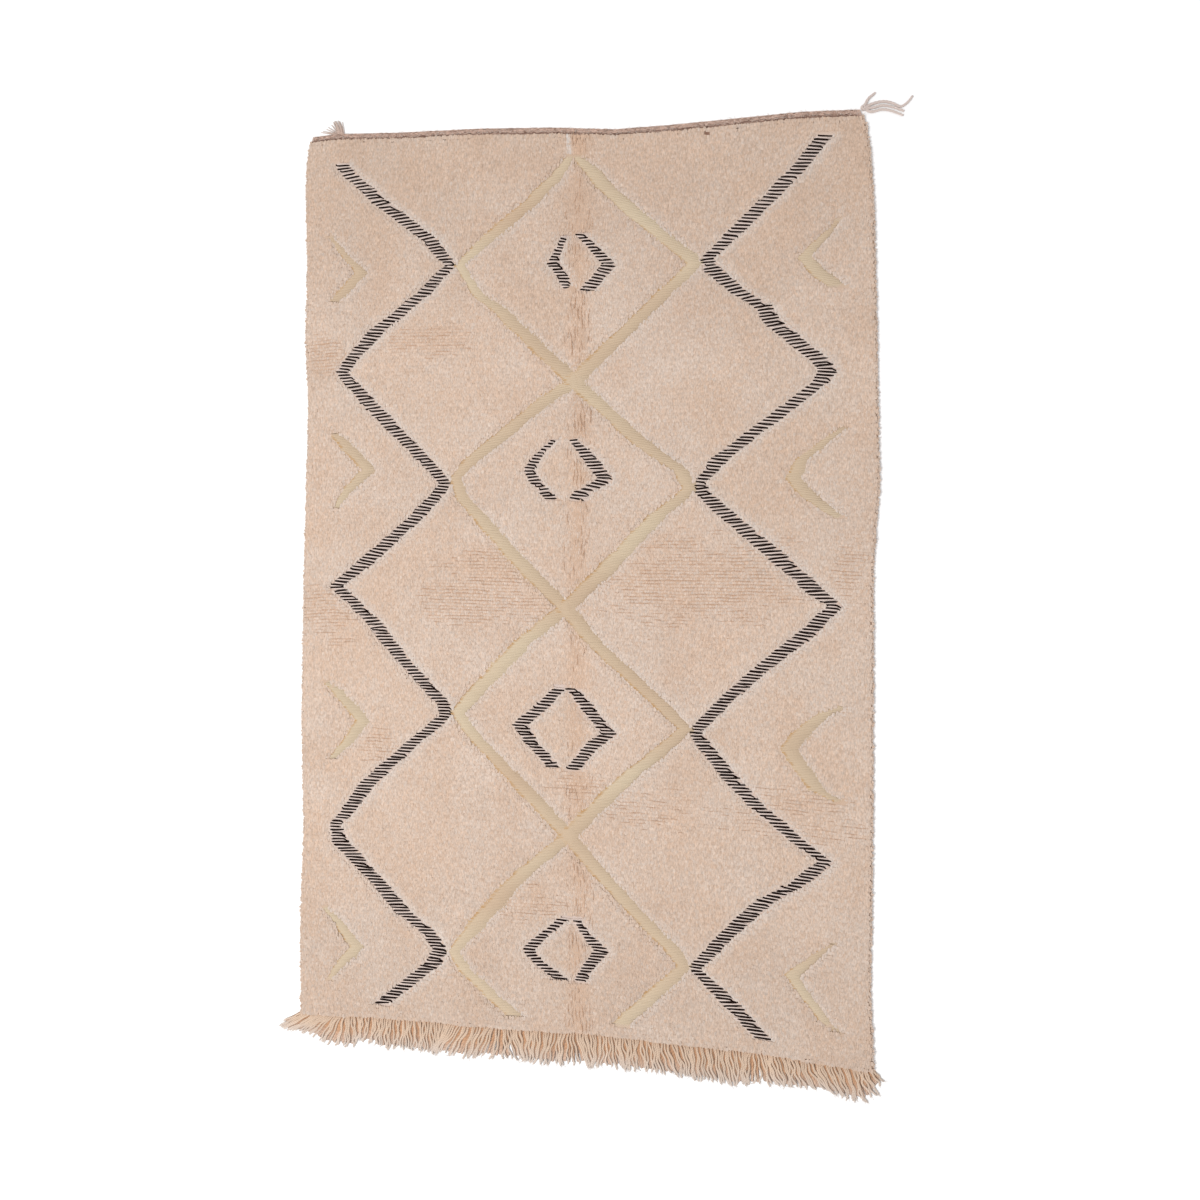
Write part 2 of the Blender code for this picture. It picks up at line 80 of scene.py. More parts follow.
def wander(share, table):
    """An edge's sideways wander: straight lines between the rows of its table."""
    at, off = np.array(table, float).T
    return np.interp(share, at, off)


def cloth_point(x, y):
    """Loom places to floor places, both in millimetres.

    The four corners are blended by the shares u across and v along; each edge's wander is added
    in full at that edge and fades to nothing at the opposite one.
    """
    u = np.asarray(x, float) / LOOM_WIDTH + 0.5
    v = np.asarray(y, float) / LOOM_LENGTH
    near = np.outer(1 - u, CORNERS["near_left"]) + np.outer(u, CORNERS["near_right"])
    far = np.outer(1 - u, CORNERS["far_left"]) + np.outer(u, CORNERS["far_right"])
    plan = near * (1 - v)[:, None] + far * v[:, None]
    plan[:, 0] += (1 - u) * wander(v, LEFT_EDGE) + u * wander(v, RIGHT_EDGE)
    plan[:, 1] += (1 - v) * wander(u, NEAR_EDGE) + v * wander(u, FAR_EDGE)
    return plan - np.array(ORIGIN)


def on_floor(x, y, z):
    """Loom places with heights, all in millimetres, to points in metres."""
    x, y, z = np.broadcast_arrays(np.asarray(x, float), y, z)
    plan = cloth_point(x.ravel(), y.ravel())
    return (np.c_[plan, z.ravel()] * MM).reshape(x.shape + (3,))


print("far right corner in metres:", on_floor(HALF, LOOM_LENGTH, 0.0).round(3))

# %% [markdown]
# ## The woven lines
# Where the pattern runs, the weaver leaves the knots out and passes coloured wefts instead, so
# each line is a shallow channel with striped weaving at its bottom. Its bends are listed in
# short tables: the middle of the line and its width, row by row from the hem downwards. Drawn
# curves would do as well, but a weaver counts rows, and tables by height are as easy to check.

# %% Tables of the lines
# Rows are (x of the line's middle, y, width) in millimetres on the loom, from the hem downwards.
LEFT_ZIGZAG = (
    (-655, 2368, 36), (-636, 2344, 42), (-530, 2250, 46), (-406, 2150, 44), (-348, 2076, 34),
    (-423, 2000, 38), (-549, 1900, 46), (-652, 1788, 34), (-577, 1700, 46), (-426, 1550, 40),
    (-361, 1478, 36), (-425, 1400, 40), (-587, 1250, 48), (-657, 1194, 37), (-555, 1100, 46),
    (-473, 1000, 40), (-353, 875, 40), (-345, 845, 36), (-455, 750, 38), (-565, 650, 46),
    (-640, 550, 36), (-662, 530, 33), (-640, 480, 48), (-508, 350, 46), (-464, 300, 48),
    (-396, 250, 44), (-357, 200, 38), (-385, 155, 46), (-453, 100, 42), (-522, 42, 42),
)
RIGHT_ZIGZAG = (
    (647, 2388, 36), (567, 2300, 42), (460, 2200, 42), (350, 2100, 38), (332, 2084, 34),
    (351, 2050, 46), (403, 2000, 40), (470, 1950, 42), (505, 1900, 44), (617, 1800, 44),
    (632, 1782, 44), (610, 1750, 38), (548, 1700, 38), (415, 1600, 42), (354, 1550, 42),
    (308, 1492, 30), (316, 1465, 40), (388, 1400, 46), (512, 1300, 52), (625, 1200, 50),
    (656, 1176, 38), (587, 1100, 46), (470, 1000, 40), (368, 900, 40), (310, 830, 31),
    (333, 800, 42), (412, 700, 44), (461, 650, 42), (588, 550, 42), (637, 520, 42),
    (563, 450, 38), (488, 400, 44), (393, 300, 44), (314, 204, 30), (375, 150, 46),
    (482, 40, 42),
)
FIRST_LATTICE = (
    (-16, 2372, 14), (-46, 2325, 27), (-71, 2300, 38), (-119, 2250, 42), (-241, 2150, 40),
    (-321, 2078, 22), (-276, 2000, 28), (-210, 1950, 40), (-56, 1800, 44), (-20, 1763, 46),
    (50, 1700, 44), (158, 1600, 46), (258, 1525, 38), (280, 1478, 30), (255, 1450, 40),
    (198, 1400, 44), (70, 1250, 50), (-25, 1150, 48), (-142, 1050, 48), (-277, 900, 46),
    (-313, 852, 34), (-279, 800, 36), (-182, 700, 40), (-23, 535, 46), (51, 450, 44),
    (150, 350, 46), (256, 250, 44), (287, 208, 32), (232, 150, 44), (118, 35, 40),
)
SECOND_LATTICE = (
    (3, 2371, 16), (27, 2348, 40), (68, 2298, 50), (170, 2196, 44), (280, 2098, 42),
    (300, 2074, 35), (277, 2050, 42), (217, 1996, 40), (116, 1896, 42), (18, 1796, 42),
    (-22, 1757, 46), (-110, 1697, 42), (-227, 1597, 44), (-288, 1547, 42), (-334, 1495, 24),
    (-318, 1446, 34), (-226, 1346, 40), (-129, 1246, 46), (-26, 1145, 48), (58, 1047, 44),
    (172, 947, 44), (226, 897, 44), (284, 840, 36), (242, 796, 42), (131, 697, 44),
    (-22, 529, 46), (-115, 446, 44), (-166, 397, 46), (-245, 297, 46), (-322, 198, 27),
    (-287, 148, 34), (-160, 37, 42),
)
LOZENGE_ARMS = (
    ((-37, 2155, 12), (-62, 2100, 22), (-67, 2078, 34), (-42, 2040, 30), (-30, 2012, 22)),
    ((-70, 1603, 14), (-120, 1550, 20), (-138, 1520, 30), (-109, 1475, 28), (-72, 1440, 36)),
    ((-38, 934, 28), (-94, 875, 40), (-146, 826, 42), (-115, 780, 38), (-58, 716, 30)),
    ((-24, 308, 32), (-63, 275, 24), (-121, 218, 36), (-105, 198, 30), (-36, 143, 42)),
    ((4, 2162, 30), (42, 2120, 28), (80, 2080, 38), (46, 2040, 36), (22, 2008, 34)),
    ((-25, 1608, 20), (20, 1560, 38), (64, 1502, 44), (36, 1478, 38), (3, 1460, 38), (-6, 1443, 42)),
    ((-7, 932, 26), (16, 900, 36), (88, 815, 42), (38, 770, 40), (-8, 712, 34)),
    ((6, 308, 22), (31, 270, 26), (74, 228, 38), (47, 190, 34), (14, 141, 32)),
)
CHEVRONS = (
    ((-686, 2166, 8), (-640, 2108, 18), (-596, 2062, 36), (-640, 2013, 28), (-672, 1984, 18)),
    ((-676, 1616, 10), (-646, 1590, 30), (-602, 1545, 38), (-576, 1516, 40), (-636, 1455, 24),
     (-662, 1412, 12)),
    ((-684, 926, 8), (-652, 904, 26), (-597, 845, 38), (-578, 820, 36), (-626, 757, 28), (-664, 716, 12)),
    ((-682, 300, 8), (-655, 275, 20), (-606, 214, 38), (-590, 194, 38), (-638, 142, 26), (-668, 104, 10)),
    ((664, 2166, 8), (616, 2113, 22), (575, 2072, 34), (602, 2043, 42), (631, 2015, 50), (654, 1994, 38)),
    ((664, 1630, 8), (622, 1600, 20), (562, 1550, 26), (540, 1503, 34), (586, 1452, 42), (659, 1403, 22)),
    ((680, 924, 8), (635, 900, 28), (578, 850, 38), (545, 800, 42), (615, 700, 36), (668, 677, 12)),
    ((660, 312, 8), (632, 290, 16), (556, 216, 34), (584, 180, 30), (636, 110, 24), (668, 90, 10)),
)
DARK_LINES = (LEFT_ZIGZAG, RIGHT_ZIGZAG) + LOZENGE_ARMS
KHAKI_LINES = (FIRST_LATTICE, SECOND_LATTICE) + CHEVRONS
ALL_LINES = DARK_LINES + KHAKI_LINES
END_ROOM = 5.0


def line_at(rows, y):
    """Middle and half width of a line at the heights y: straight between its rows, and wavering by
    2 mm as it does where each weft turns by eye.

    More than END_ROOM above and below the line the half width is a large negative number.
    """
    at_x, at_y, wide = np.array(rows, float)[::-1].T
    waver = np.sin(y / 11.3 + at_x[0]) + np.sin(y / 17.9 + at_y[0]) * np.sin(y / 6.1)
    middle = np.interp(y, at_y, at_x) + 1.1 * waver
    half = np.interp(y, at_y, wide) / 2 + 1.3 * np.sin(y / 14.7 + at_x[-1]) * np.sin(y / 8.3)
    return middle, np.where((y < at_y[0] - END_ROOM) | (y > at_y[-1] + END_ROOM), -999.0, half)


def beside(rows, x, y):
    """Signed side (-1 left, 1 right), the edge's stretch along the weft, sqrt(1 + slope^2), and the
    clear distance square to the edge, negative inside the line."""
    middle, half = line_at(rows, y)
    ahead, behind = line_at(rows, y + 10)[0], line_at(rows, y - 10)[0]
    stretch = np.hypot(1, (ahead - behind) / 20)
    return np.sign(x - middle), stretch, (np.abs(x - middle) - half) / stretch


def clear_of(lines, x, y):
    """Distance from the nearest line's edge, square to it, and on which side of the line."""
    clear, side = np.full(np.shape(x), 999.0), np.zeros(np.shape(x))
    for rows in lines:
        here, _, gap = beside(rows, x, y)
        side = np.where(gap < clear, here, side)
        clear = np.minimum(clear, gap)
    return clear, side


print("lines:", len(DARK_LINES), "dark,", len(KHAKI_LINES), "khaki")

# %% [markdown]
# ## Unevenness
# Hand-spun wool is never even: its tone, height and direction drift in patches of all sizes. A
# plain random number per knot would look like noise on a screen, so patches are made by giving
# random numbers to a coarse lattice and blending smoothly between its points.

# %% Soft random patches
rng = np.random.default_rng(2718)


def patches(x, y, size, seed):
    """Numbers from -1 to 1 in soft patches: lattice values blended with 3t^2 - 2t^3 both ways."""
    lattice = np.random.default_rng(seed).uniform(-1, 1, (257, 257))
    gx, gy = np.asarray(x, float) / size + 400, np.asarray(y, float) / size + 400
    ix, iy = np.floor(gx).astype(int), np.floor(gy).astype(int)
    fx, fy = gx - ix, gy - iy
    fx, fy = fx * fx * (3 - 2 * fx), fy * fy * (3 - 2 * fy)
    ix, iy = ix % 256, iy % 256
    low = lattice[ix, iy] * (1 - fx) + lattice[ix + 1, iy] * fx
    high = lattice[ix, iy + 1] * (1 - fx) + lattice[ix + 1, iy + 1] * fx
    return low * (1 - fy) + high * fy


sample = patches(np.linspace(0, 900, 500), np.linspace(0, 700, 500), 40, 1)
print("patches run from", sample.min().round(2), "to", sample.max().round(2))

# %% [markdown]
# ## Camera
# The rug is seen from almost straight above, a little from the right. A camera could track a
# target, but one fixed place and one tilt are easier to check: it hangs two and a half metres
# over the rug and is tilted eight degrees.

# %% Set up the camera
TILT, CAMERA_FAR = math.radians(8), 2.49
LENS_MM, FILM_MM = 28.0, 36.0
look_x, look_y = -ORIGIN[0] * MM, -ORIGIN[1] * MM
camera_data = bpy.data.cameras.new("camera")
camera_data.lens = LENS_MM
camera_data.sensor_width = FILM_MM
camera = bpy.data.objects.new("camera", camera_data)
camera.location = (look_x + CAMERA_FAR * math.sin(TILT), look_y, CAMERA_FAR * math.cos(TILT))
camera.rotation_euler = (0, TILT, 0)
bpy.context.scene.collection.objects.link(camera)
bpy.context.scene.camera = camera
print("camera at", [round(v, 3) for v in camera.location])

# %% [markdown]
# ## Floor and light
# A rug shows its pile only where light rakes across it a little. One large soft lamp stands to
# the left, high up, and throws short shadows into the woven lines; a pale sky fills them again.
# The sky alone would be simpler, but the pile would look flat under it.

# %% Stand the floor and hang the lamp
FLOOR_HALF, FLOOR_LEVEL = 9.0, -0.0006
LAMP_PLACE, LAMP_WATTS, LAMP_WIDE = (-2.5, -1.4, 6.0), 278.0, 2.6
SKY_STRENGTH = 0.78
floor_mesh = bpy.data.meshes.new("studio_floor")
floor_corners = [(FLOOR_HALF * i, FLOOR_HALF * j, FLOOR_LEVEL)
                 for i, j in ((-1, -1), (1, -1), (1, 1), (-1, 1))]
floor_mesh.from_pydata(floor_corners, [], [(0, 1, 2, 3)])
floor = bpy.data.objects.new("studio_floor", floor_mesh)
bpy.context.scene.collection.objects.link(floor)
floor_finish = bpy.data.materials.new("pale_floor")
floor_finish.use_nodes = True
floor_shader = floor_finish.node_tree.nodes["Principled BSDF"]
floor_shader.inputs["Base Color"].default_value = (0.93, 0.93, 0.93, 1)
floor_shader.inputs["Roughness"].default_value = 0.9
floor_mesh.materials.append(floor_finish)

lamp_data = bpy.data.lights.new("soft_lamp", "AREA")
lamp_data.shape = "DISK"
lamp_data.size = LAMP_WIDE
lamp_data.energy = LAMP_WATTS
lamp_data.color = (1.0, 0.985, 0.965)
lamp = bpy.data.objects.new("soft_lamp", lamp_data)
lamp.location = LAMP_PLACE
lamp.rotation_euler = (Vector((0.0, 0.0, 0.0)) - lamp.location).to_track_quat("-Z", "Y").to_euler()
bpy.context.scene.collection.objects.link(lamp)

sky = bpy.data.worlds.new("pale_sky")
sky.use_nodes = True
sky.node_tree.nodes["Background"].inputs["Color"].default_value = (0.97, 0.98, 1.0, 1)
sky.node_tree.nodes["Background"].inputs["Strength"].default_value = SKY_STRENGTH
bpy.context.scene.world = sky
bpy.context.scene.view_settings.view_transform = "Standard"
print("lamp", lamp_data.energy, "W over a pale sky")

# %% [markdown]
# ## Colours
# A dyer names colours as they look, so the palette is given in everyday 0 to 255 values, and one
# helper turns them into the linear light that a shader works in.

# %% The palette


def dye(red, green, blue):
    """Everyday colour values to linear light: ((c + 0.055) / 1.055) ^ 2.4, or c / 12.92 if dark."""
    c = np.array((red, green, blue), float) / 255
    return np.where(c > 0.04045, ((c + 0.055) / 1.055) ** 2.4, c / 12.92)


TIP_CREAM = dye(195, 178, 165)
TIP_PEACH = dye(191, 166, 147)
# The halo grey is a painted highlight on the lit edges of the pile beside the lines; it also tints a pale
# streak on the fold.
HALO_GREY = dye(196, 187, 180)
# The root peach and rust make the tufts darker and warmer towards their roots: painted shade between the
# tufts and in the partings.
ROOT_PEACH = dye(196, 160, 132)
ROOT_RUST = dye(184, 132, 94)
GROUND_TAN = dye(192, 154, 124)
BED_PEACH = dye(206, 180, 160)
HEM_TAN = dye(194, 166, 151)
# The seam brown colours the hem's darker cord and the painted shadow at the foot of the pile beside it, and
# also a seed speck.
SEAM_BROWN = dye(122, 92, 78)
BLACK_BROWN = dye(28, 15, 12)
IVORY = dye(214, 196, 186)
KHAKI = dye(198, 181, 156)
KHAKI_BROWN = dye(186, 159, 134)
# The ochre is painted shadow: the pile's left bank shading the left edge of a khaki line.
OCHRE_SHADOW = dye(178, 142, 100)
FRINGE_CREAM = dye(212, 186, 163)
# The under tan and the fringe's root colour are painted shade: under the upper yarns and under the pile's
# edge.
FRINGE_UNDER_SHADE = dye(196, 152, 118)
FRINGE_TIP = dye(212, 198, 188)
FRINGE_ROOT_SHADE = dye(200, 162, 132)
TASSEL_PINK = dye(214, 198, 190)
print("cream in linear light:", TIP_CREAM.round(3))

# %% [markdown]
# ## From arrays to a piece
# Blender can build a mesh vertex by vertex, but a rug has tens of thousands of knots, so whole
# arrays are handed over at once. Each vertex carries a colour, so that a tuft can run from a pale
# tip to a darker, warmer root: painted shade where the tufts press together.

# %% Make a mesh object from arrays


def make_piece(name, points, faces, shade, finish, maps=None):
    """One object at the origin from points (n, 3), faces as lists of equal-sided index arrays,
    a colour per point and, where given, named maps with one (u, v) per face corner."""
    corners = np.concatenate([f.ravel() for f in faces])
    sides = np.concatenate([np.full(len(f), f.shape[1]) for f in faces])
    mesh = bpy.data.meshes.new(name)
    mesh.vertices.add(len(points))
    mesh.vertices.foreach_set("co", np.asarray(points, np.float32).ravel())
    mesh.loops.add(len(corners))
    mesh.loops.foreach_set("vertex_index", corners.astype(np.int32))
    mesh.polygons.add(len(sides))
    mesh.polygons.foreach_set("loop_start", (np.cumsum(sides) - sides).astype(np.int32))
    mesh.update(calc_edges=True)
    mesh.shade_smooth()
    tone = mesh.attributes.new("shade", "FLOAT_COLOR", "POINT")
    tone.data.foreach_set("color", np.c_[shade, np.ones(len(shade))].astype(np.float32).ravel())
    for title, places in (maps or {}).items():
        layer = mesh.uv_layers.new(name=title)
        layer.data.foreach_set("uv", np.asarray(places, np.float32).ravel())
    mesh.materials.append(finish)
    piece = bpy.data.objects.new(name, mesh)
    bpy.context.scene.collection.objects.link(piece)
    print(f"{name}: {len(points)} points, {int((sides - 2).sum())} triangles")
    return piece


def cells(count, tall):
    """A page of equal cells, each tall times as high as wide: every cell's column and row, and how
    many columns and rows there are."""
    columns = max(1, math.ceil(math.sqrt(count * tall)))
    each = np.arange(count)
    return np.stack([each % columns, each // columns], axis=1), (columns, math.ceil(count / columns))


print("a page for 1000 square cells:", cells(1000, 1.0)[1])

# %% [markdown]
# ## The wool finishes
# Wool is matt, faintly furry and slightly streaky. The tone of each vertex is multiplied by fine
# noise for single fibres, the same kind of noise lifts the surface as a bump, and a little sheen
# stands for the loose fibres that catch light at the edges. Yarns add their twist: slanting
# stripes on the map that runs round and along each yarn. An image could be wrapped over it all,
# but an image repeats and blurs up close, and noise doesn't.

# %% Wool made from nodes


def link(tree, source, target):
    """Join an output socket to an input socket."""
    tree.links.new(source, target)


def node(tree, kind, values=None, operation=None):
    """A new shader node, with the values of its input sockets given by name or number."""
    added = tree.nodes.new("ShaderNode" + kind)
    if operation:
        added.operation = operation
    for socket, value in (values or {}).items():
        added.inputs[socket].default_value = value
    return added


def wool(name, fibre=900.0, contrast=0.14, bump=0.35, sheen=0.25, twist=0.0, weave=0.0, stretch=1.0,
         shine=0.15):
    """A wool finish. Colour = shade attribute * (1 +- contrast * fibre noise); stretch draws the
    noise out along the rug into locks of hair, twist adds yarn stripes sin(2 pi (2 u + 3 v)) and
    weave adds over-and-under ribs sin(x) * sin(y)."""
    made = bpy.data.materials.new(name)
    made.use_nodes = True
    tree = made.node_tree
    shader = tree.nodes["Principled BSDF"]
    for socket, value in (("Specular IOR Level", shine), ("Sheen Weight", sheen), ("Sheen Roughness", 0.45)):
        shader.inputs[socket].default_value = value
    tone = node(tree, "Attribute")
    tone.attribute_name = "shade"
    place = node(tree, "TexCoord")
    fibres = node(tree, "TexNoise", {"Scale": fibre, "Detail": 3.0, "Roughness": 0.6})
    drawn = node(tree, "Mapping", {"Scale": (1, 1 / stretch, 1)})
    link(tree, place.outputs["Object"], drawn.inputs["Vector"])
    link(tree, drawn.outputs["Vector"], fibres.inputs["Vector"])
    streak = node(tree, "MapRange", {"From Min": 0.25, "From Max": 0.75,
                                     "To Min": 1 - contrast, "To Max": 1 + contrast})
    link(tree, fibres.outputs["Fac"], streak.inputs["Value"])
    height, light = fibres.outputs["Fac"], streak.outputs["Result"]
    if twist or weave:
        ribs = twist_stripes(tree) if twist else weave_ribs(tree, place)
        deep = twist or weave
        shade_ribs = node(tree, "MapRange", {"From Min": -1.0, "To Min": 1 - 0.35 * deep, "To Max": 1.0})
        link(tree, ribs, shade_ribs.inputs["Value"])
        both = node(tree, "Math", operation="MULTIPLY")
        link(tree, light, both.inputs[0])
        link(tree, shade_ribs.outputs["Result"], both.inputs[1])
        raised = node(tree, "Math", {1: deep}, "MULTIPLY_ADD")
        link(tree, ribs, raised.inputs[0])
        link(tree, height, raised.inputs[2])
        height, light = raised.outputs["Value"], both.outputs["Value"]
    dyed = node(tree, "VectorMath", operation="SCALE")
    link(tree, tone.outputs["Color"], dyed.inputs[0])
    link(tree, light, dyed.inputs["Scale"])
    link(tree, dyed.outputs["Vector"], shader.inputs["Base Color"])
    rough = node(tree, "MapRange", {"To Min": 0.86, "To Max": 1.0})
    link(tree, fibres.outputs["Fac"], rough.inputs["Value"])
    link(tree, rough.outputs["Result"], shader.inputs["Roughness"])
    lift = node(tree, "Bump", {"Strength": bump, "Distance": 0.0008})
    link(tree, height, lift.inputs["Height"])
    link(tree, lift.outputs["Normal"], shader.inputs["Normal"])
    return made


def twist_stripes(tree):
    """sin(2 pi (2 u + 3 v)) on the yarn map: two plies winding round the yarn."""
    yarn = node(tree, "UVMap")
    yarn.uv_map = "yarn"
    wind = node(tree, "VectorMath", {1: (2 * 2 * math.pi, 3 * 2 * math.pi, 0)}, "DOT_PRODUCT")
    link(tree, yarn.outputs["UV"], wind.inputs[0])
    wave = node(tree, "Math", operation="SINE")
    link(tree, wind.outputs["Value"], wave.inputs[0])
    return wave.outputs["Value"]


def weave_ribs(tree, place):
    """sin(2 pi x / 7 mm) * sin(2 pi y / 3.6 mm): wefts beaten over and under the warps."""
    turns = node(tree, "VectorMath", {1: (2 * math.pi / 0.007, 2 * math.pi / 0.0036, 0)}, "MULTIPLY")
    link(tree, place.outputs["Object"], turns.inputs[0])
    parts = node(tree, "SeparateXYZ")
    link(tree, turns.outputs["Vector"], parts.inputs[0])
    crossed = node(tree, "Math", operation="MULTIPLY")
    for i, side in enumerate(("X", "Y")):
        wave = node(tree, "Math", operation="SINE")
        link(tree, parts.outputs[side], wave.inputs[0])
        link(tree, wave.outputs["Value"], crossed.inputs[i])
    return crossed.outputs["Value"]


PILE_FINISH = wool("pile_wool", fibre=360.0, contrast=0.27, bump=0.5, sheen=0.25, stretch=3.0)
GROUND_FINISH = wool("ground_weave_wool", contrast=0.10, bump=0.3, sheen=0.1, weave=0.8)
WEFT_FINISH = wool("weft_wool", contrast=0.12, bump=0.3, sheen=0.12, twist=0.3)
KHAKI_FINISH = wool("khaki_wool", fibre=600.0, contrast=0.12, bump=0.4, sheen=0.2)
DARK_FINISH = wool("dark_wool", contrast=0.25, bump=0.3, sheen=0.0, twist=0.3, shine=0.03)
HAIR_FINISH = wool("hair_wool", contrast=0.08, bump=0.1, sheen=0.2)
FRINGE_FINISH = wool("fringe_wool", contrast=0.12, bump=0.4, sheen=0.25, twist=0.6)
print("finishes:", [m.name for m in bpy.data.materials if "wool" in m.name])

# %% [markdown]
# ## The ground weave
# Under the tufts lies a plain woven cloth with the knots' wool packed on it. It is seen at the
# hem, in the woven lines, between tufts that part, and from below. It could be thousands of
# crossing threads, but nobody would see them, so it is one closed sheet: a grid of heights that
# rises under the pile and stays low where the knots are left out, with real ribs at the hem.

# %% Heights of the pile and its partings
# The old fold's rows are (x, y) in millimetres on the loom. The pile parts FOLD_SIDE right of it.
CREASE = ((3, 0), (8, 353), (-3, 896), (-8, 1440), (-11, 1984), (2, 2450))
FOLD_SIDE = 8.0
# Patches where the rows part into ribs: (middle x, middle y, half width, half height, strength).
RIBBED = (
    (-225, 1200, 150, 110, 1.0), (330, 1230, 250, 110, 1.0), (690, 1265, 60, 80, 0.8),
    (-695, 1825, 60, 55, 0.9), (-430, 1870, 140, 40, 0.9), (-675, 1115, 80, 75, 0.9),
    (-350, 1165, 80, 75, 0.9), (-520, 750, 50, 40, 0.8), (0, 660, 70, 40, 0.8),
    (195, 620, 150, 50, 0.6), (570, 630, 180, 80, 0.6), (-125, 350, 80, 60, 0.6),
)


def pile_top(x, y):
    """Height of the lumpy pile in millimetres, as the weaver's shears left it."""
    wave = np.sin(x / 97 + 1.3 * np.sin(y / 160)) + np.sin(y / 71 + 0.9) * np.cos(x / 143 + y / 380)
    return PILE_TOP - 0.6 + 0.7 * wave + 0.7 * patches(x, y, 28, 41)


def crease_x(y):
    """Where the rug was once folded, across the loom, at the heights y."""
    at, up = np.array(CREASE, float).T
    return np.interp(y, up, at)


def fold_near(x, y, wide):
    """How near the pile's parting is: 1.2 - distance / wide, held between 0 and 1."""
    return np.clip(1.2 - np.abs(x - crease_x(y) - FOLD_SIDE) / wide, 0, 1)


def ribbed(x, y):
    """Strength of the ribs: 1 inside a patch, fading over its ragged border."""
    strength = np.zeros_like(x)
    for middle_x, middle_y, wide, high, most in RIBBED:
        inside = 1.25 - np.hypot((x - middle_x) / wide, (y - middle_y) / high)
        inside = inside + 0.4 * patches(x, y / 0.4, 90, 21)
        strength = np.maximum(strength, most * np.clip(inside * 1.6, 0, 1))
    return strength


def blend(first, second, share):
    """first * (1 - share) + second * share, colour by colour."""
    share = np.clip(share, 0, 1)[..., None]
    return first * (1 - share) + second * share


print("pile's height on the fold in mm:", pile_top(crease_x(np.arange(3.0)), np.arange(3.0)).round(2))

# %% Weave the ground
WEAVE_LOW, LINE_LOW, BED_UNDER, SIDE_DROP = 4.3, 8.0, 1.7, 2.5
BANK_WIDE, RIM_FLAT, RIM_WIDE = 13.0, 2.0, 5.0
HEM_START, SEAM_IN = LOOM_LENGTH - HEM_DEPTH - 4, 5.0
RIB_HIGH, RIB_PITCH = 0.45, 3.0


def weave_height(x, y):
    """Top height = low * (1 - rise) + bed * rise, where low is 8.0 mm in a line and 4.3 mm at the rim,
    and the bed lies 1.7 mm under the pile's top, and up to 2.5 mm more at the sides. The rise grows
    from 0 to 1 within 13 mm of a line, as (distance / 13 mm) ^ 0.7, and between 2 and 7 mm from the
    rim; in the hem there are ribs of 0.45 mm * |sin|. Returns the height and the lesser rise."""
    clear = clear_of(ALL_LINES, x, y)[0]
    room = np.minimum(np.minimum(HALF - np.abs(x), y), HEM_START - y)
    rise, rim_rise = np.clip(clear / BANK_WIDE, 0, 1) ** 0.7, np.clip((room - RIM_FLAT) / RIM_WIDE, 0, 1)
    bed = pile_top(x, y) - BED_UNDER - SIDE_DROP * np.clip(1 - (HALF - np.abs(x)) / 14, 0, 1)
    wave = np.sin(math.pi * (LOOM_LENGTH - y) / RIB_PITCH + 0.4 * patches(x, y, 25, 3))
    z = np.minimum(LINE_LOW + (bed - LINE_LOW) * rise, WEAVE_LOW + (bed - WEAVE_LOW) * rim_rise)
    return z + np.where(y > HEM_START, RIB_HIGH * np.abs(wave), 0.0), np.minimum(rise, rim_rise)


def weave_shade(x, y, rise):
    """Tan below and peach on the bed, darker where the pile parts: painted shade in the partings.
    Within 8 mm of a line it takes the line's ivory or khaki, and a brown seam, exp(-(d / 2.2 mm)^2),
    runs along the hem's inner side: partly the hem's darker cord, partly painted shadow at the foot
    of the pile."""
    parted = np.maximum(fold_near(x, y, 34), ribbed(x, y))
    # Darker where the pile parts: painted shade in the partings.
    shade = blend(blend(GROUND_TAN, BED_PEACH, rise), ROOT_PEACH, 0.5 * parted)
    shade = blend(shade, IVORY, 1.0 - clear_of(DARK_LINES, x, y)[0] / 8)
    shade = blend(shade, KHAKI, 1.0 - clear_of(KHAKI_LINES, x, y)[0] / 8)
    hem = HEM_TAN * (1 + 0.12 * patches(x, y, 14, 5))[..., None]
    # The seam line: the hem's darker cord, and painted shadow where the pile's edge rises.
    seam_and_shadow = np.exp(-((y - HEM_START - SEAM_IN) / 2.2) ** 2) * np.clip(0.7 + 0.6 * patches(x, y, 22, 6), 0, 1)
    return np.where((y > HEM_START - 3)[..., None], blend(hem, SEAM_BROWN, seam_and_shadow), shade)


def weave_page(x, y, top, rim):
    """The map: the top fills its left half, the underside its right half, the rim a strip above."""
    spot = np.stack([0.01 + 0.48 * (x / LOOM_WIDTH + 0.5), 0.01 + 0.93 * y / LOOM_LENGTH], -1).reshape(-1, 2)
    turned = spot[rim[::-1]] * (-1, 1) + (1, 0)
    i = np.arange(len(rim)) / len(rim) * 0.98 + 0.01
    j = i + 0.98 / len(rim)
    corners = ((i, 0.96), (j, 0.96), (j, 0.99), (i, 0.99))
    strip = np.stack([np.c_[along, 0 * i + up] for along, up in corners], axis=1).reshape(-1, 2)
    return np.concatenate([spot[top.ravel()], strip, turned])


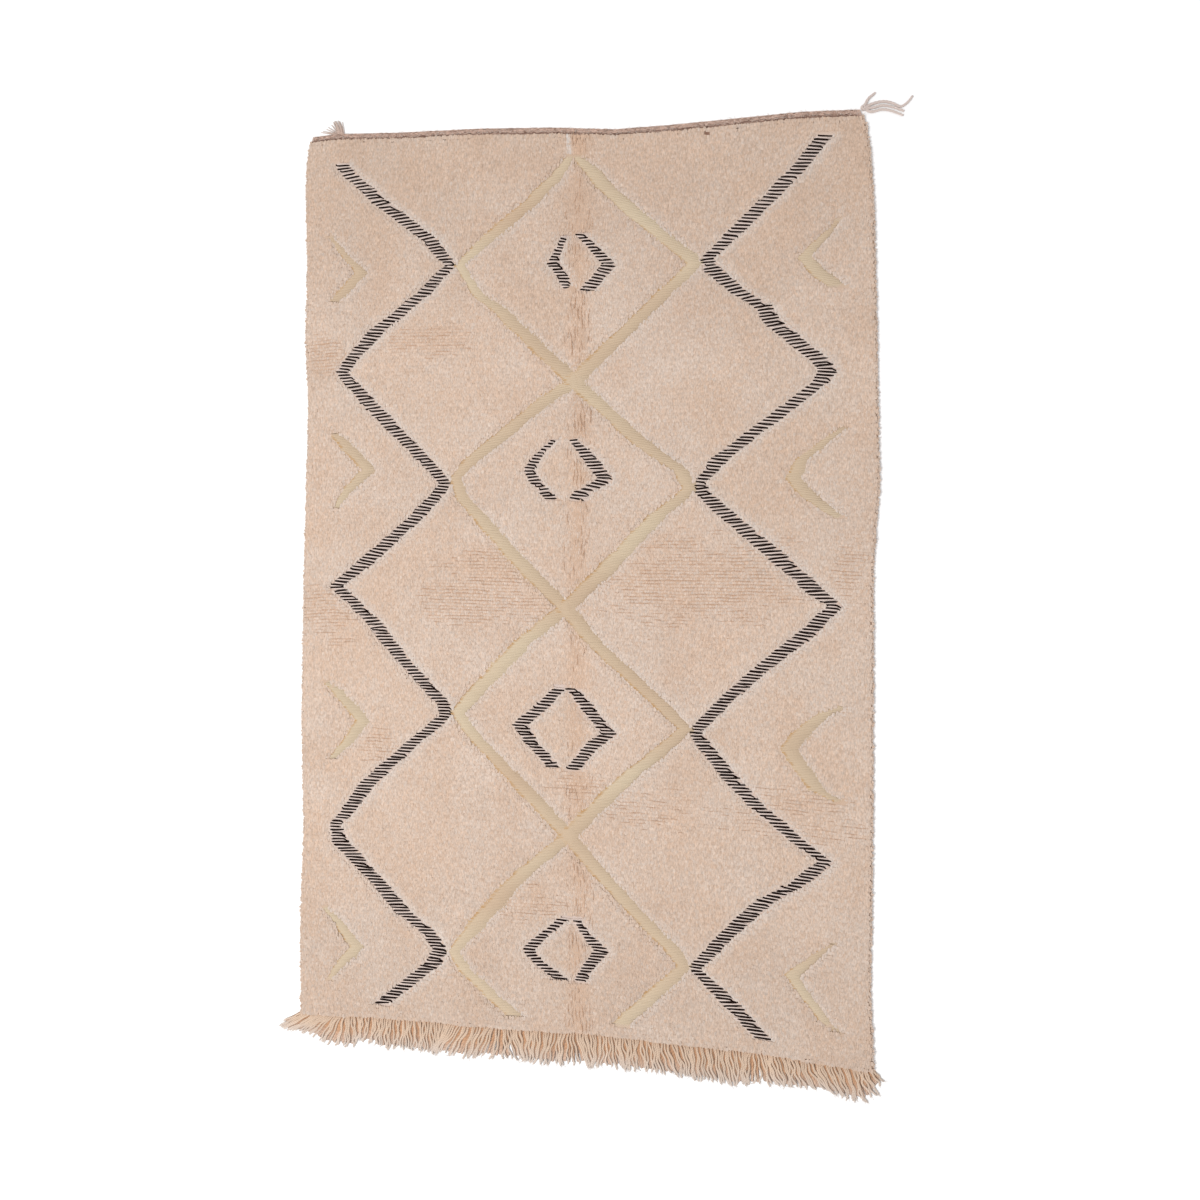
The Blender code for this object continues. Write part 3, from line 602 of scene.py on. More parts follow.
def ground_weave():
    """One closed sheet: a grid of heights above, one face below, and a wall round the rim."""
    across = np.concatenate([[-HALF, 4 - HALF], np.linspace(8 - HALF, HALF - 8, 87), [HALF - 4, HALF]])
    rows = np.concatenate([[0, 4], np.linspace(8, HEM_START - 2, 144),
                           np.arange(HEM_START, LOOM_LENGTH, 1.2), [LOOM_LENGTH]])
    x, y = np.meshgrid(across, rows)
    z, rise = weave_height(x, y)
    points = on_floor(x, y, z).reshape(-1, 3)
    at = np.arange(x.size).reshape(x.shape)
    top = np.stack([at[:-1, :-1], at[:-1, 1:], at[1:, 1:], at[1:, :-1]], axis=-1).reshape(-1, 4)
    rim = np.concatenate([at[0], at[1:, -1], at[-1, -2::-1], at[-2:0:-1, 0]])
    low = x.size + np.arange(len(rim))
    walls = np.stack([low, np.roll(low, -1), np.roll(rim, -1), rim], axis=1)
    points = np.concatenate([points, points[rim] * (1, 1, 0)])
    shade = np.concatenate([weave_shade(x, y, rise).reshape(-1, 3), np.broadcast_to(HEM_TAN, (len(rim), 3))])
    sheet = make_piece("ground_weave", points, [top, walls, low[::-1][None]], shade, GROUND_FINISH,
                       {"OFBake": weave_page(x, y, top, rim)})
    sheet.data.set_sharp_from_angle(angle=math.radians(60))
    return sheet


ground = ground_weave()

# %% [markdown]
# ## The pile
# Each knot ends in a soft tuft a little wider than its place, so the tufts press against each
# other and only their roots show between them, painted darker as the shade there. A particle
# system could plant them, but real knots stand in rows, lean together and part along the old
# fold. So each tuft is a small closed dome with its own place, size, lean and tone, and all of
# them are computed at once.

# %% Plant the knots on the loom
ROW_PITCH, KNOT_PITCH = 8.8, 10.6
BANK_PITCH, BANK_GAP = 6.0, 4.9


def row_waver(x, y):
    """How far a row of knots wanders up and down, in millimetres."""
    return 1.4 * patches(x, y, 46, 11)


def plant_field():
    """Rows of knots ROW_PITCH apart, each shifted at random; none on the lines or beside them. A
    knot has two ends side by side, so there are two places to each."""
    rows = np.arange(5.0, LOOM_LENGTH - HEM_DEPTH - 3.5, ROW_PITCH)
    places = np.arange(-HALF + 4, HALF - 3, KNOT_PITCH / 2)
    x, y = np.meshgrid(places, rows)
    x = x + 0.125 * KNOT_PITCH * (-1.0) ** np.arange(len(rows))[:, None]
    x = x + rng.uniform(-1.0, 1.0, (len(rows), 1)) + rng.normal(0, 0.8, x.shape)
    y = y + row_waver(x, y) + rng.normal(0, 1.0, x.shape) * (1 - 0.6 * ribbed(x, y))
    x, y = x.ravel(), y.ravel()
    keep = (np.abs(x) < HALF - 2) & (clear_of(ALL_LINES, x, y)[0] > BANK_GAP + 1.6)
    return x[keep], y[keep]


def plant_banks():
    """Closer, smaller knots along both edges of every line, BANK_GAP from it, square to the edge."""
    places = []
    for rows in ALL_LINES:
        low, high = rows[-1][1], rows[0][1]
        fine = np.arange(low, high, 1.0)
        stretch = beside(rows, 0 * fine, fine)[1]
        along = np.cumsum(stretch)
        y = np.interp(np.arange(2, along[-1], BANK_PITCH), along, fine)
        y = np.concatenate([y, y]) + rng.normal(0, 0.8, 2 * len(y))
        side = np.repeat((-1, 1), len(y) // 2)
        middle, half = line_at(rows, np.clip(y, low, high))
        stretch = np.interp(y, fine, stretch)
        gap = BANK_GAP + 1.5 * patches(y, 500 * side, 13, 12) + rng.normal(0, 1.0, len(y))
        places.append(np.stack([middle + side * (half + gap * stretch), y], axis=1))
    x, y = np.concatenate(places).T
    keep = clear_of(ALL_LINES, x, y)[0] > 1.2
    return x[keep], y[keep]


field, banks = plant_field(), plant_banks()
knot_x, knot_y = np.concatenate([field, banks], axis=1)
in_order = np.argsort(knot_y, kind="stable")
on_bank = (np.arange(len(knot_x)) >= len(field[0]))[in_order]
knot_x, knot_y = knot_x[in_order], knot_y[in_order]
print("tufts:", len(knot_x), "of them on the banks:", int(on_bank.sum()))

# %% [markdown]
# A tuft is tied at one point, opens like a brush and is shorn off. So its outline is a point at
# the root, a ring at its belly and a pole at its tip, ten triangles in all. On its map the crown
# lies in the middle of the tuft's own cell and the sides stand round it like a star.

# %% Shape the tufts
TUFT_SIDES = 5


def round_angles(sides):
    """Equal angles round a circle, one to each side."""
    return np.arange(sides) * 2 * math.pi / sides


def on_circle(angle):
    """(cos a, sin a) for every angle."""
    return np.stack([np.cos(angle), np.sin(angle)], axis=-1)


def tufts(name, root, radius, lean, top, spin, shades, crown, foot):
    """Closed tufts, all at once, in metres.

    Ring point = root + (radius_x cos a, radius_y sin a) + 0.45 * lean; the tip is root + lean at the
    top height, the ring lies crown below it, and the root point foot above the floor. The ring's
    edge is sharp, so that the crowns are lit as one field. shades holds the colours of root, ring
    (one to each point) and tip.
    """
    count = len(root)
    circle = on_circle(spin[:, None] + round_angles(TUFT_SIDES)) * radius[:, None]
    points = np.empty((count, TUFT_SIDES + 2, 3))
    points[:, :TUFT_SIDES, :2] = root[:, None] + circle + 0.45 * lean[:, None]
    points[:, :TUFT_SIDES, 2] = (top - crown * MM)[:, None]
    points[:, -2, :2] = root
    points[:, -2, 2] = foot * MM
    points[:, -1, :2] = root + lean
    points[:, -1, 2] = top
    j = np.arange(TUFT_SIDES)
    k = (j + 1) % TUFT_SIDES
    side = np.stack([k, j, np.full(TUFT_SIDES, TUFT_SIDES)], axis=1)
    cap = np.stack([j, k, np.full(TUFT_SIDES, TUFT_SIDES + 1)], axis=1)
    first = (np.arange(count) * (TUFT_SIDES + 2))[:, None, None]

    cell, page_size = cells(count, 1.0)
    turn = round_angles(TUFT_SIDES) + 0.3
    ring = 0.5 + 0.27 * on_circle(turn)
    star = 0.5 + 0.47 * on_circle(turn + math.pi / TUFT_SIDES)
    spots = (np.stack([ring[k], ring[j], star[j]], axis=1),
             np.stack([ring[j], ring[k], 0.5 + 0 * ring], axis=1))
    page = [((cell[:, None] + spot.reshape(-1, 2)) / page_size).reshape(-1, 2) for spot in spots]
    shade = np.concatenate([shades[1], shades[0][:, None], shades[2][:, None]], axis=1)
    faces = [(first + f).reshape(-1, 3) for f in (side, cap)]
    grown = make_piece(name, points.reshape(-1, 3), faces, shade.reshape(-1, 3), PILE_FINISH,
                       {"OFBake": np.concatenate(page)})
    grown.data.set_sharp_from_angle(angle=math.radians(55))
    return grown


print("a tuft stands on", TUFT_SIDES, "sides at", np.degrees(round_angles(TUFT_SIDES)).round(), "degrees")

# %% Grow a tuft on each knot
PIECE_TUFTS = 18500
TUFT_ACROSS, TUFT_ALONG = (4.2, 5.2), (6.2, 7.4)
NEAR_DARKER, FAR_DARKER, LEFT_DARKER = 0.075, 0.045, 0.02
SPECK, SPECK_HALF = (349, 2418), (9, 5)


def tip_colours(x, y, folded):
    """Peach to cream by soft patches and chance, times a tone that is 0.075 less at the near end and
    0.045 less at the far one. Along the fold the tips are more peach: painted shade in the parting.
    Beside a line the tips take a painted pale grey highlight, most on its right, where the lamp
    lights the pile's edge."""
    far, near = np.clip((y - 1800) / 400, 0, 1), np.clip((600 - y) / 400, 0, 1)
    left = np.clip((-x - 450) / 200, 0, 1)
    tone = 1 - (FAR_DARKER + LEFT_DARKER * left) * far - NEAR_DARKER * near + 0.012 * patches(x, y, 26, 61)
    tone += 0.03 * patches(x, y, 120, 62) + rng.normal(0, 0.03, len(x))
    grey = 0.5 + 0.3 * patches(x, y, 90, 64) + rng.normal(0, 0.22, len(x))
    # Along the fold the tips turn peach: painted shade in the parting.
    tip = blend(TIP_PEACH, TIP_CREAM, grey - 0.4 * folded - 0.25 * far) * (tone + 0.02 * folded)[:, None]
    dark_clear, dark_side = clear_of(DARK_LINES, x, y)
    pale_clear, pale_side = clear_of(KHAKI_LINES, x, y)
    # Painted highlight: pale grey on the tips where the lamp lights the pile's edge beside a line.
    painted_highlight = np.maximum(np.clip(1 - dark_clear / 24, 0, 1) * np.where(dark_side > 0, 0.8, 0.4),
                      np.clip(1 - pale_clear / 26, 0, 1) * np.where(pale_side > 0, 0.5, 0.1))
    tip = blend(tip, HALO_GREY, painted_highlight)
    # At the far end the fold shows a pale streak with a warmer patch on its right, and a seed left in
    # the wool makes one dark speck.
    beside_streak = x + 25 - 0.12 * (LOOM_LENGTH - y)
    far_end = np.clip((y - 2355) / 20, 0, 1)
    tip = blend(tip, HALO_GREY, far_end * np.exp(-((beside_streak / 6) ** 2)))
    tip = blend(tip, ROOT_PEACH, 0.4 * far_end * np.exp(-(((beside_streak - 28) / 16) ** 2)))
    tip[np.hypot((x - SPECK[0]) / SPECK_HALF[0], (y - SPECK[1]) / SPECK_HALF[1]) < 1] = SEAM_BROWN
    return tip


def grow_pile():
    """All tufts, cut into pieces of at most PIECE_TUFTS. Radius, lean and height vary by chance. Tufts
    are narrower and lower along the fold and in the ribbed patches, and beside the lines they stand
    lower and straighter."""
    x, y = knot_x, knot_y
    count = len(x)
    rib, folded = ribbed(x, y), fold_near(x, y, 36)
    edge = np.clip(1 - (clear_of(ALL_LINES, x, y)[0] - BANK_GAP) / 10, 0, 1)
    plan = on_floor(x, y, 0 * x)[:, :2]
    radius = np.c_[rng.uniform(*TUFT_ACROSS, count) * (1 - 0.3 * folded),
                   rng.uniform(*TUFT_ALONG, count) * (1 - 0.3 * rib)]
    radius *= np.where(on_bank, 0.85, 1 - 0.10 * edge)[:, None]
    lean = np.c_[1.6 * patches(x, y, 60, 51), 1.8 * patches(x, y, 60, 52) - 1.2]
    lean += rng.normal(0, 0.9, (count, 2))
    lean *= (1 - 0.7 * edge)[:, None]
    top = pile_top(x, y) + rng.normal(0, 0.28, count) - 0.7 * folded - 0.3 * rib - 2.2 * edge
    top -= SIDE_DROP * np.clip(1 - (HALF - np.abs(x)) / 12, 0, 1)

    tip = tip_colours(x, y, folded)
    # Roots peach, rustier along the fold and in the ribs, and each ring 12 % of the way from tip to root:
    # painted shade between the tufts and in the partings.
    root = blend(ROOT_PEACH, ROOT_RUST, 0.3 * folded + 0.3 * rib)
    spin = rng.uniform(0, 2 * math.pi, count)
    angle = spin[:, None] + round_angles(TUFT_SIDES)
    # Ring points that face the fold or a rib line are darker: painted shade in the parting.
    split = folded[:, None] * np.cos(angle) ** 2 + rib[:, None] * np.sin(angle) ** 2
    belly = blend(tip[:, None], root[:, None], 0.12 + 0.13 * split + rng.normal(0, 0.13, split.shape))
    pieces = []
    for i, part in enumerate(np.array_split(np.arange(count), math.ceil(count / PIECE_TUFTS))):
        shades = (root[part], belly[part], tip[part])
        pieces.append(tufts(f"pile_{i + 1}", plan[part], radius[part] * MM, lean[part] * MM, top[part] * MM,
                            spin[part], shades, crown=1.3, foot=3.6))
    return pieces


pile = grow_pile()

# %% [markdown]
# ## Locks along the sides
# At the two sides the tufts have nothing to lean on, so they spill over the edge of the cloth in
# rounded, uneven locks. The last tufts of each row could be pushed outwards, but the edge would
# be a straight comb then, so the locks are tufts of their own that lean out in scallops.

# %% Let tufts spill over the sides
LOCK_PITCH, LOCK_REACH, LOCK_TUFT_PITCH = 31.0, 4.2, 4.4
LOCK_RADIUS, LOCK_TOP = ((3.4, 4.8), (3.2, 4.6)), (8.0, 12.5)


def side_locks():
    """Tufts along both sides. They lean out by a scalloped reach |sin(pi y / pitch)|, some more
    than others, and are lower than the pile."""
    y = np.tile(np.arange(3.0, LOOM_LENGTH - 14, LOCK_TUFT_PITCH), 2)
    side = np.repeat((-1.0, 1.0), len(y) // 2)
    count = len(y)
    lock = np.floor(y / LOCK_PITCH).astype(int)
    size = rng.uniform(0.45, 1.25, (2, lock.max() + 2))[(side > 0).astype(int), lock]
    reach = LOCK_REACH * size * np.abs(np.sin(math.pi * y / LOCK_PITCH)) + rng.uniform(-1.0, 3.0, count)
    x = side * (HALF - 3.5 + rng.uniform(-1, 1, count))
    y = y + rng.normal(0, 1.2, count)
    root = on_floor(x, y, 0 * x)[:, :2]
    lean = np.c_[side * (2.0 + reach), rng.normal(0, 1.5, count)]
    radius = np.stack([rng.uniform(*sizes, count) for sizes in LOCK_RADIUS], axis=1)
    top = rng.uniform(*LOCK_TOP, count)
    tone = 1 + 0.04 * patches(x, y, 30, 71) + rng.normal(0, 0.03, count)
    tip = blend(TIP_PEACH, TIP_CREAM, rng.uniform(0, 1, count)) * tone[:, None]
    # Roots peach to rust and rings 6 % darker than the tips: painted shade under the crowns.
    shades = (blend(ROOT_PEACH, ROOT_RUST, rng.uniform(0, 0.4, count)),
              np.repeat(0.94 * tip[:, None], TUFT_SIDES, axis=1), tip)
    return tufts("side_locks", root, radius * MM, lean * MM, top * MM, rng.uniform(0, 6.28, count), shades,
                 crown=2.0, foot=0.6)


locks = side_locks()

# %% [markdown]
# ## Yarns
# Wefts, fringe and tassel are all yarns: a round section carried along a path. One function
# makes any number of them at once, each closed at both ends by a pole, and draws a map that
# runs once round the yarn and along it, on which the finish paints the twist. Bevelled curves
# would look alike, but thousands of them are slow, and they have no such map.

# %% Map the yarns


def unit(vectors):
    """Each vector divided by its own length."""
    return vectors / np.linalg.norm(vectors, axis=-1)[..., None]


def lift(plan, z):
    """Floor places (n, steps, 2) and heights in millimetres, joined to points in metres."""
    return np.concatenate([plan, z[..., None]], axis=2) * MM


def yarn_maps(paths, wide, sides):
    """Two maps for each corner. "yarn" says how far round it is and how many turns along, a turn
    being 2 pi * the mean half width; on "OFBake" every yarn has a cell of its own. The poles count
    as rings of their own, before the first ring and after the last."""
    count, steps, _ = paths.shape
    j = np.arange(sides)
    jj, ss = (grid.ravel() for grid in np.meshgrid(j, np.arange(steps - 1)))
    around = np.concatenate([np.stack([jj, jj, jj + 1, jj + 1], 1).ravel(),
                             np.stack([j + 0.5, j, j + 1], 1).ravel(),
                             np.stack([j, j + 0.5, j + 1], 1).ravel()]) / sides
    along = np.concatenate([np.stack([ss, ss + 1, ss + 1, ss], 1).ravel() + 1,
                            np.tile((0, 1, 1), sides), np.tile((steps, steps + 1, steps), sides)])
    length = np.cumsum(np.linalg.norm(np.diff(paths, axis=1), axis=2), axis=1)
    length = np.concatenate([np.zeros((count, 1)), length], axis=1)
    turns = length / (2 * math.pi * wide.mean(axis=1)[:, None])
    turns = np.concatenate([turns[:, :1] - 0.1, turns, turns[:, -1:] + 0.1], axis=1)
    yarn_map = np.stack([np.broadcast_to(around, (count, len(around))), turns[:, along]], axis=-1)
    cell, page_size = cells(count, 3.0)
    spot = np.stack([0.06 + 0.88 * around, 0.03 + 0.94 * along / (steps + 1)], axis=-1)
    page = (cell[:, None] + spot) / page_size
    # The piece's faces are grouped by kind, walls, starts and stops, so the maps are split that way.
    cuts = (len(jj) * 4, len(jj) * 4 + sides * 3)
    return {title: np.concatenate([part.reshape(-1, 2) for part in np.split(places, cuts, axis=1)])
            for title, places in (("yarn", yarn_map), ("OFBake", page))}


print("a step of 3 across and 4 up, made one long:", unit(np.array((3.0, 0.0, 4.0))))

# %% Make many yarns at once


def yarns(name, paths, wide, high, shades, finish, sides):
    """Closed yarns from paths (n, steps, 3); wide and high are half sizes (n, steps) in metres.

    Ring point = path + side * wide * cos a + up * high * sin a, where side is level and square
    to the path and up is square to both.
    """
    count, steps, _ = paths.shape
    ahead = unit(np.gradient(paths, axis=1))
    side = unit(np.cross(ahead, (0.0, 0.0, 1.0)))
    up = np.cross(side, ahead)
    angle = round_angles(sides) + 0.3
    ring = (paths[:, :, None] + side[:, :, None] * (wide[..., None] * np.cos(angle))[..., None]
            + up[:, :, None] * (high[..., None] * np.sin(angle))[..., None])
    reach = 0.5 * wide[:, [0, -1], None] * ahead[:, [0, -1]] * np.array((-1, 1))[:, None]
    points = np.concatenate([ring.reshape(count, -1, 3), paths[:, [0, -1]] + reach], axis=1)

    j = np.arange(sides)
    k = (j + 1) % sides
    s = np.arange(steps - 1)[:, None] * sides
    walls = np.stack([s + j, s + sides + j, s + sides + k, s + k], axis=-1).reshape(-1, 4)
    last = (steps - 1) * sides
    start = np.stack([np.full(sides, steps * sides), j, k], axis=1)
    stop = np.stack([last + j, np.full(sides, steps * sides + 1), last + k], axis=1)
    first = (np.arange(count) * (steps * sides + 2))[:, None, None]
    faces = [(first + kind).reshape(-1, kind.shape[1]) for kind in (walls, start, stop)]
    shade = np.concatenate([np.repeat(shades, sides, axis=1), shades[:, [0, -1]]], axis=1)
    return make_piece(name, points.reshape(-1, 3), faces, shade.reshape(-1, 3), finish,
                      yarn_maps(paths, wide, sides))


# %% [markdown]
# ## Coloured wefts in the woven lines
# In a dark line a dark weft and an ivory one take turns; in a khaki line all are khaki. Each weft
# runs straight across its line and dives into the ground at both ends. The ends are ragged and the
# wefts slope a little, because the line was beaten down harder on one side. Stripes painted on
# the ground would be quicker, but paint has no ends that stand out, so each weft is a yarn.

# %% Lay the wefts
WEFT_PITCH, WEFT_SLOPE, HOOK_DROP = 4.15, 0.13, 6.2


def weft_rows(lines, shift=0.0, pitch=WEFT_PITCH):
    """For every line, a weft each pitch: its height, middle, half width and the line's slope."""
    rows = []
    for line in lines:
        low, high = line[-1][1], line[0][1]
        y = np.arange(low + 2 + shift, high - 1, pitch)
        middle, half = line_at(line, y)
        slope = (line_at(line, np.minimum(y + 12, high))[0] - line_at(line, np.maximum(y - 12, low))[0]) / 24
        rows.append(np.stack([y, middle, half, slope], axis=1))
    return np.concatenate(rows)


def weft_paths(rows, ragged, beyond, height, dive, hooks, steps, loose):
    """Paths across the lines, beyond mm past each edge. Height falls by dive at both ends; a weft's
    slope is up to 0.13 against the line's own and less towards the fringe. A hooked weft turns
    back by 6.2 mm at one end, to join the next one of its colour."""
    y, middle, half, slope = rows.T
    count = len(y)
    left = middle - half - beyond + rng.normal(0, ragged, count)
    right = middle + half + beyond + rng.normal(0, ragged, count)
    right = np.maximum(right, left + 6)
    share = np.linspace(0, 1, steps)
    share[1:3] = 0.13, 0.25
    x = left[:, None] + (right - left)[:, None] * share
    tilt = -WEFT_SLOPE * np.clip(slope, -1, 1) * np.clip((y - 500) / 900, 0.25, 1)
    tilt = tilt + rng.normal(0, 0.05 * loose, count)
    yy = y[:, None] + (x - middle[:, None]) * tilt[:, None] + rng.normal(0, 0.3 * loose, x.shape)
    yy += rng.normal(0, 0.5 * loose, (count, 1))
    blunt = np.clip(1.2 - np.abs(slope), 0.0, 1.0)
    hooked = rng.uniform(0, 1, count) < hooks * (0.5 + 1.5 * blunt)
    turn = np.where(rng.uniform(0, 1, count) < 0.7, 1, 0)
    drop = HOOK_DROP * hooked
    yy[:, -1] -= drop * turn
    yy[:, -2] -= 0.12 * drop * turn
    yy[:, 0] += drop * (1 - turn)
    yy[:, 1] += 0.12 * drop * (1 - turn)
    z = np.full(x.shape, height) + rng.normal(0, 0.12 * loose, x.shape)
    z[:, [0, -1]] -= dive
    return on_floor(x, yy, z)


def lay_wefts(name, rows, colour, ragged, thick, beyond, height, dive, hooks=0.0, spread=0.03,
              steps=4, finish=WEFT_FINISH, shadow_end=None, loose=1.0):
    """One piece of wefts in one colour, unevenly dyed; thick holds half the width and height. With
    a shadow colour their left ends run out in it, painted shadow of the pile's bank on the line's
    left side, and browner patches lie across them."""
    paths = weft_paths(rows, ragged, beyond, height, dive, hooks, steps, loose)
    count = len(paths)
    body = 1 + loose * (rng.uniform(-0.10, 0.08, (count, 1)) + rng.uniform(-0.08, 0.06, (count, steps)))
    body[:, [0, -1]] *= 0.8 if hooks else 1.0
    shade = colour * (1 + rng.normal(0, spread, (count, steps, 1)))
    if shadow_end is not None:
        y, middle = rows.T[:2]
        browner = 0.35 + 0.4 * patches(middle, y, 170, 91) + 0.1 * (middle > 500) - 0.1 * (middle < -500)
        shade *= np.where(middle < -500, 0.955, 1.0)[:, None, None]
        shade = blend(shade, KHAKI_BROWN, browner[:, None] + np.zeros((count, steps)))
        # The left ends run out in ochre: painted shadow of the pile's left bank.
        shadow_share = rng.uniform(0.0, 1.0, (count, 1)) + np.zeros((count, 2))
        shade[:, :2] = blend(shade[:, :2], shadow_end, shadow_share)
    return yarns(name, paths, thick[0] * MM * body, thick[1] * MM * body, shade, finish, sides=4)


dark_rows = weft_rows(DARK_LINES, 0.0, 2 * WEFT_PITCH)
ivory_rows = weft_rows(DARK_LINES, WEFT_PITCH, 2 * WEFT_PITCH)
dark_wefts = lay_wefts("dark_wefts", dark_rows, BLACK_BROWN, ragged=1.9, thick=(2.6, 1.5), beyond=1.2,
                       height=9.6, dive=0.6, hooks=0.35, spread=0.15, steps=5, finish=DARK_FINISH)
ivory_wefts = lay_wefts("ivory_wefts", ivory_rows, IVORY, ragged=1.0, thick=(2.9, 1.3), beyond=6.5,
                        height=8.9, dive=0.3)
khaki_wefts = lay_wefts("khaki_wefts", weft_rows(KHAKI_LINES), KHAKI, ragged=1.0, thick=(3.9, 1.5),
                        beyond=6.5, height=9.2, dive=0.3, spread=0.02, finish=KHAKI_FINISH,
                        shadow_end=OCHRE_SHADOW, loose=0.2)

# %% [markdown]
# ## Where the pile parts
# Along the old fold, and in patches where the rows were beaten too far apart, the pile parts and
# the roots of the knots show in shade between the rows. Darker tufts alone would look like a
# stain, so short crooked strands are laid in the partings: yarns whose peach to rust is painted
# shade of the partings on the colour of the roots.

# %% Show the roots in the partings
FOLD_PITCH, FOLD_TRIES, RIB_TRIES = 9.0, 1800, 16000


def fold_strands(t):
    """Along the fold, on lines FOLD_PITCH apart: kept with a chance that falls as exp(-(d / 30 mm)^2)."""
    y, offset = rng.uniform(10, LOOM_LENGTH - 20, FOLD_TRIES), FOLD_PITCH * rng.integers(-3, 6, FOLD_TRIES)
    likely = np.exp(-((offset - FOLD_SIDE) / 30) ** 2) * (0.6 + 0.6 * patches(0 * y, y, 90, 81))
    keep = rng.uniform(0, 1, FOLD_TRIES) < likely
    y, offset = y[keep][:, None], offset[keep][:, None]
    run = rng.uniform(8, 34, y.shape) * t
    bend = 2.2 * patches(40 * offset, y + run, 17, 82)
    x = crease_x(y + run) + offset + bend + rng.normal(0, 1.0, y.shape)
    x += 0.10 * run * rng.normal(0, 1, y.shape)
    return x, y + run


def rib_strands(t):
    """Between the rows of knots, kept where the rows part into ribs."""
    x = rng.uniform(-HALF + 20, HALF - 20, RIB_TRIES)
    row = rng.integers(2, int(LOOM_LENGTH / ROW_PITCH) - 3, RIB_TRIES)
    y = 5.0 + ROW_PITCH * (row + 0.5)
    keep = rng.uniform(0, 1, RIB_TRIES) < 0.7 * ribbed(x, y)
    x, y = x[keep][:, None], y[keep][:, None]
    x = x + rng.uniform(8, 40, x.shape) * t
    return x, y + row_waver(x, y) + 1.5 * patches(x, y, 15, 83)


def root_shade_strands():
    """Short flat yarns of five points, 8 to 40 mm long, thin at both ends: half width * (1 - 3.2 t^2).
    Those that would reach a woven line are left out."""
    t = np.linspace(-0.5, 0.5, 5)
    along_fold, along_rows = fold_strands(t), rib_strands(t)
    x, y = np.concatenate([along_fold, along_rows], axis=1)
    clear = clear_of(ALL_LINES, x, y)[0].min(axis=1) > 8
    folded = (np.arange(len(x)) < len(along_fold[0]))[clear]
    x, y = x[clear], y[clear]
    z = pile_top(x, y) - 0.2
    half = rng.uniform(0.4, 0.75, len(x))[:, None] * (1 - 3.2 * t ** 2)
    deep = np.where(folded, 0.0, 0.1)[:, None] + rng.normal(0, 0.15, (len(x), 1))
    # Peach to rust: painted shade of the partings on the colour of the roots.
    shade = blend(ROOT_PEACH, ROOT_RUST, deep + 0 * t)
    return yarns("root_shade_strands", on_floor(x, y, z), half * MM, 0.5 * MM + 0 * half, shade, HAIR_FINISH,
                 sides=3)


shaded_roots = root_shade_strands()

# %% [markdown]
# ## The fringe
# The warps run on past the last knots and are left long. They were folded and trodden on, so
# they lie in slanting groups, some across others, thick at the root and pale and thin at the
# tip. They are peach-brown near the root, painted shade under the pile's edge, and the yarns
# underneath are a darker tan, painted shade under the upper ones. A hair system could grow
# them, but it wouldn't keep each group's slant. So a short table says how the groups lie, and
# each yarn is twisted along its own waving path there.

# %% Lay out the fringe
# Rows are (share of the width, drop from the cloth, sideways lean), in millimetres.
FRINGE_LIE = (
    (0.000, 26, -58), (0.012, 46, -84), (0.030, 50, -86), (0.045, 54, -78), (0.056, 60, -70),
    (0.064, 72, -62), (0.072, 84, -50), (0.081, 88, -26), (0.093, 88, 2), (0.101, 70, -10),
    (0.125, 72, -14), (0.146, 74, -8), (0.156, 84, -12), (0.200, 84, 0), (0.245, 88, 4),
    (0.270, 84, -36), (0.292, 86, -50), (0.320, 90, -28), (0.350, 86, -48), (0.366, 88, -4),
    (0.385, 82, 26), (0.420, 88, -8), (0.456, 92, -16), (0.488, 90, -14), (0.502, 90, 24),
    (0.525, 92, 4), (0.550, 90, 8), (0.566, 88, 26), (0.593, 88, 6), (0.630, 86, 16),
    (0.665, 88, 30), (0.700, 92, 24), (0.740, 94, 20), (0.785, 94, 12), (0.800, 88, -14),
    (0.815, 84, 34), (0.860, 78, 34), (0.900, 76, 44), (0.945, 84, 42), (0.968, 88, 38),
    (0.985, 66, 30), (1.000, 26, 26),
)
FRINGE_UNDER, FRINGE_OVER = 330, 240
FRINGE_INSIDE, FRINGE_WIDTH = 7.0, LOOM_WIDTH - 8
OVER_HALF, UNDER_HALF = (2.7, 3.4), 2.0


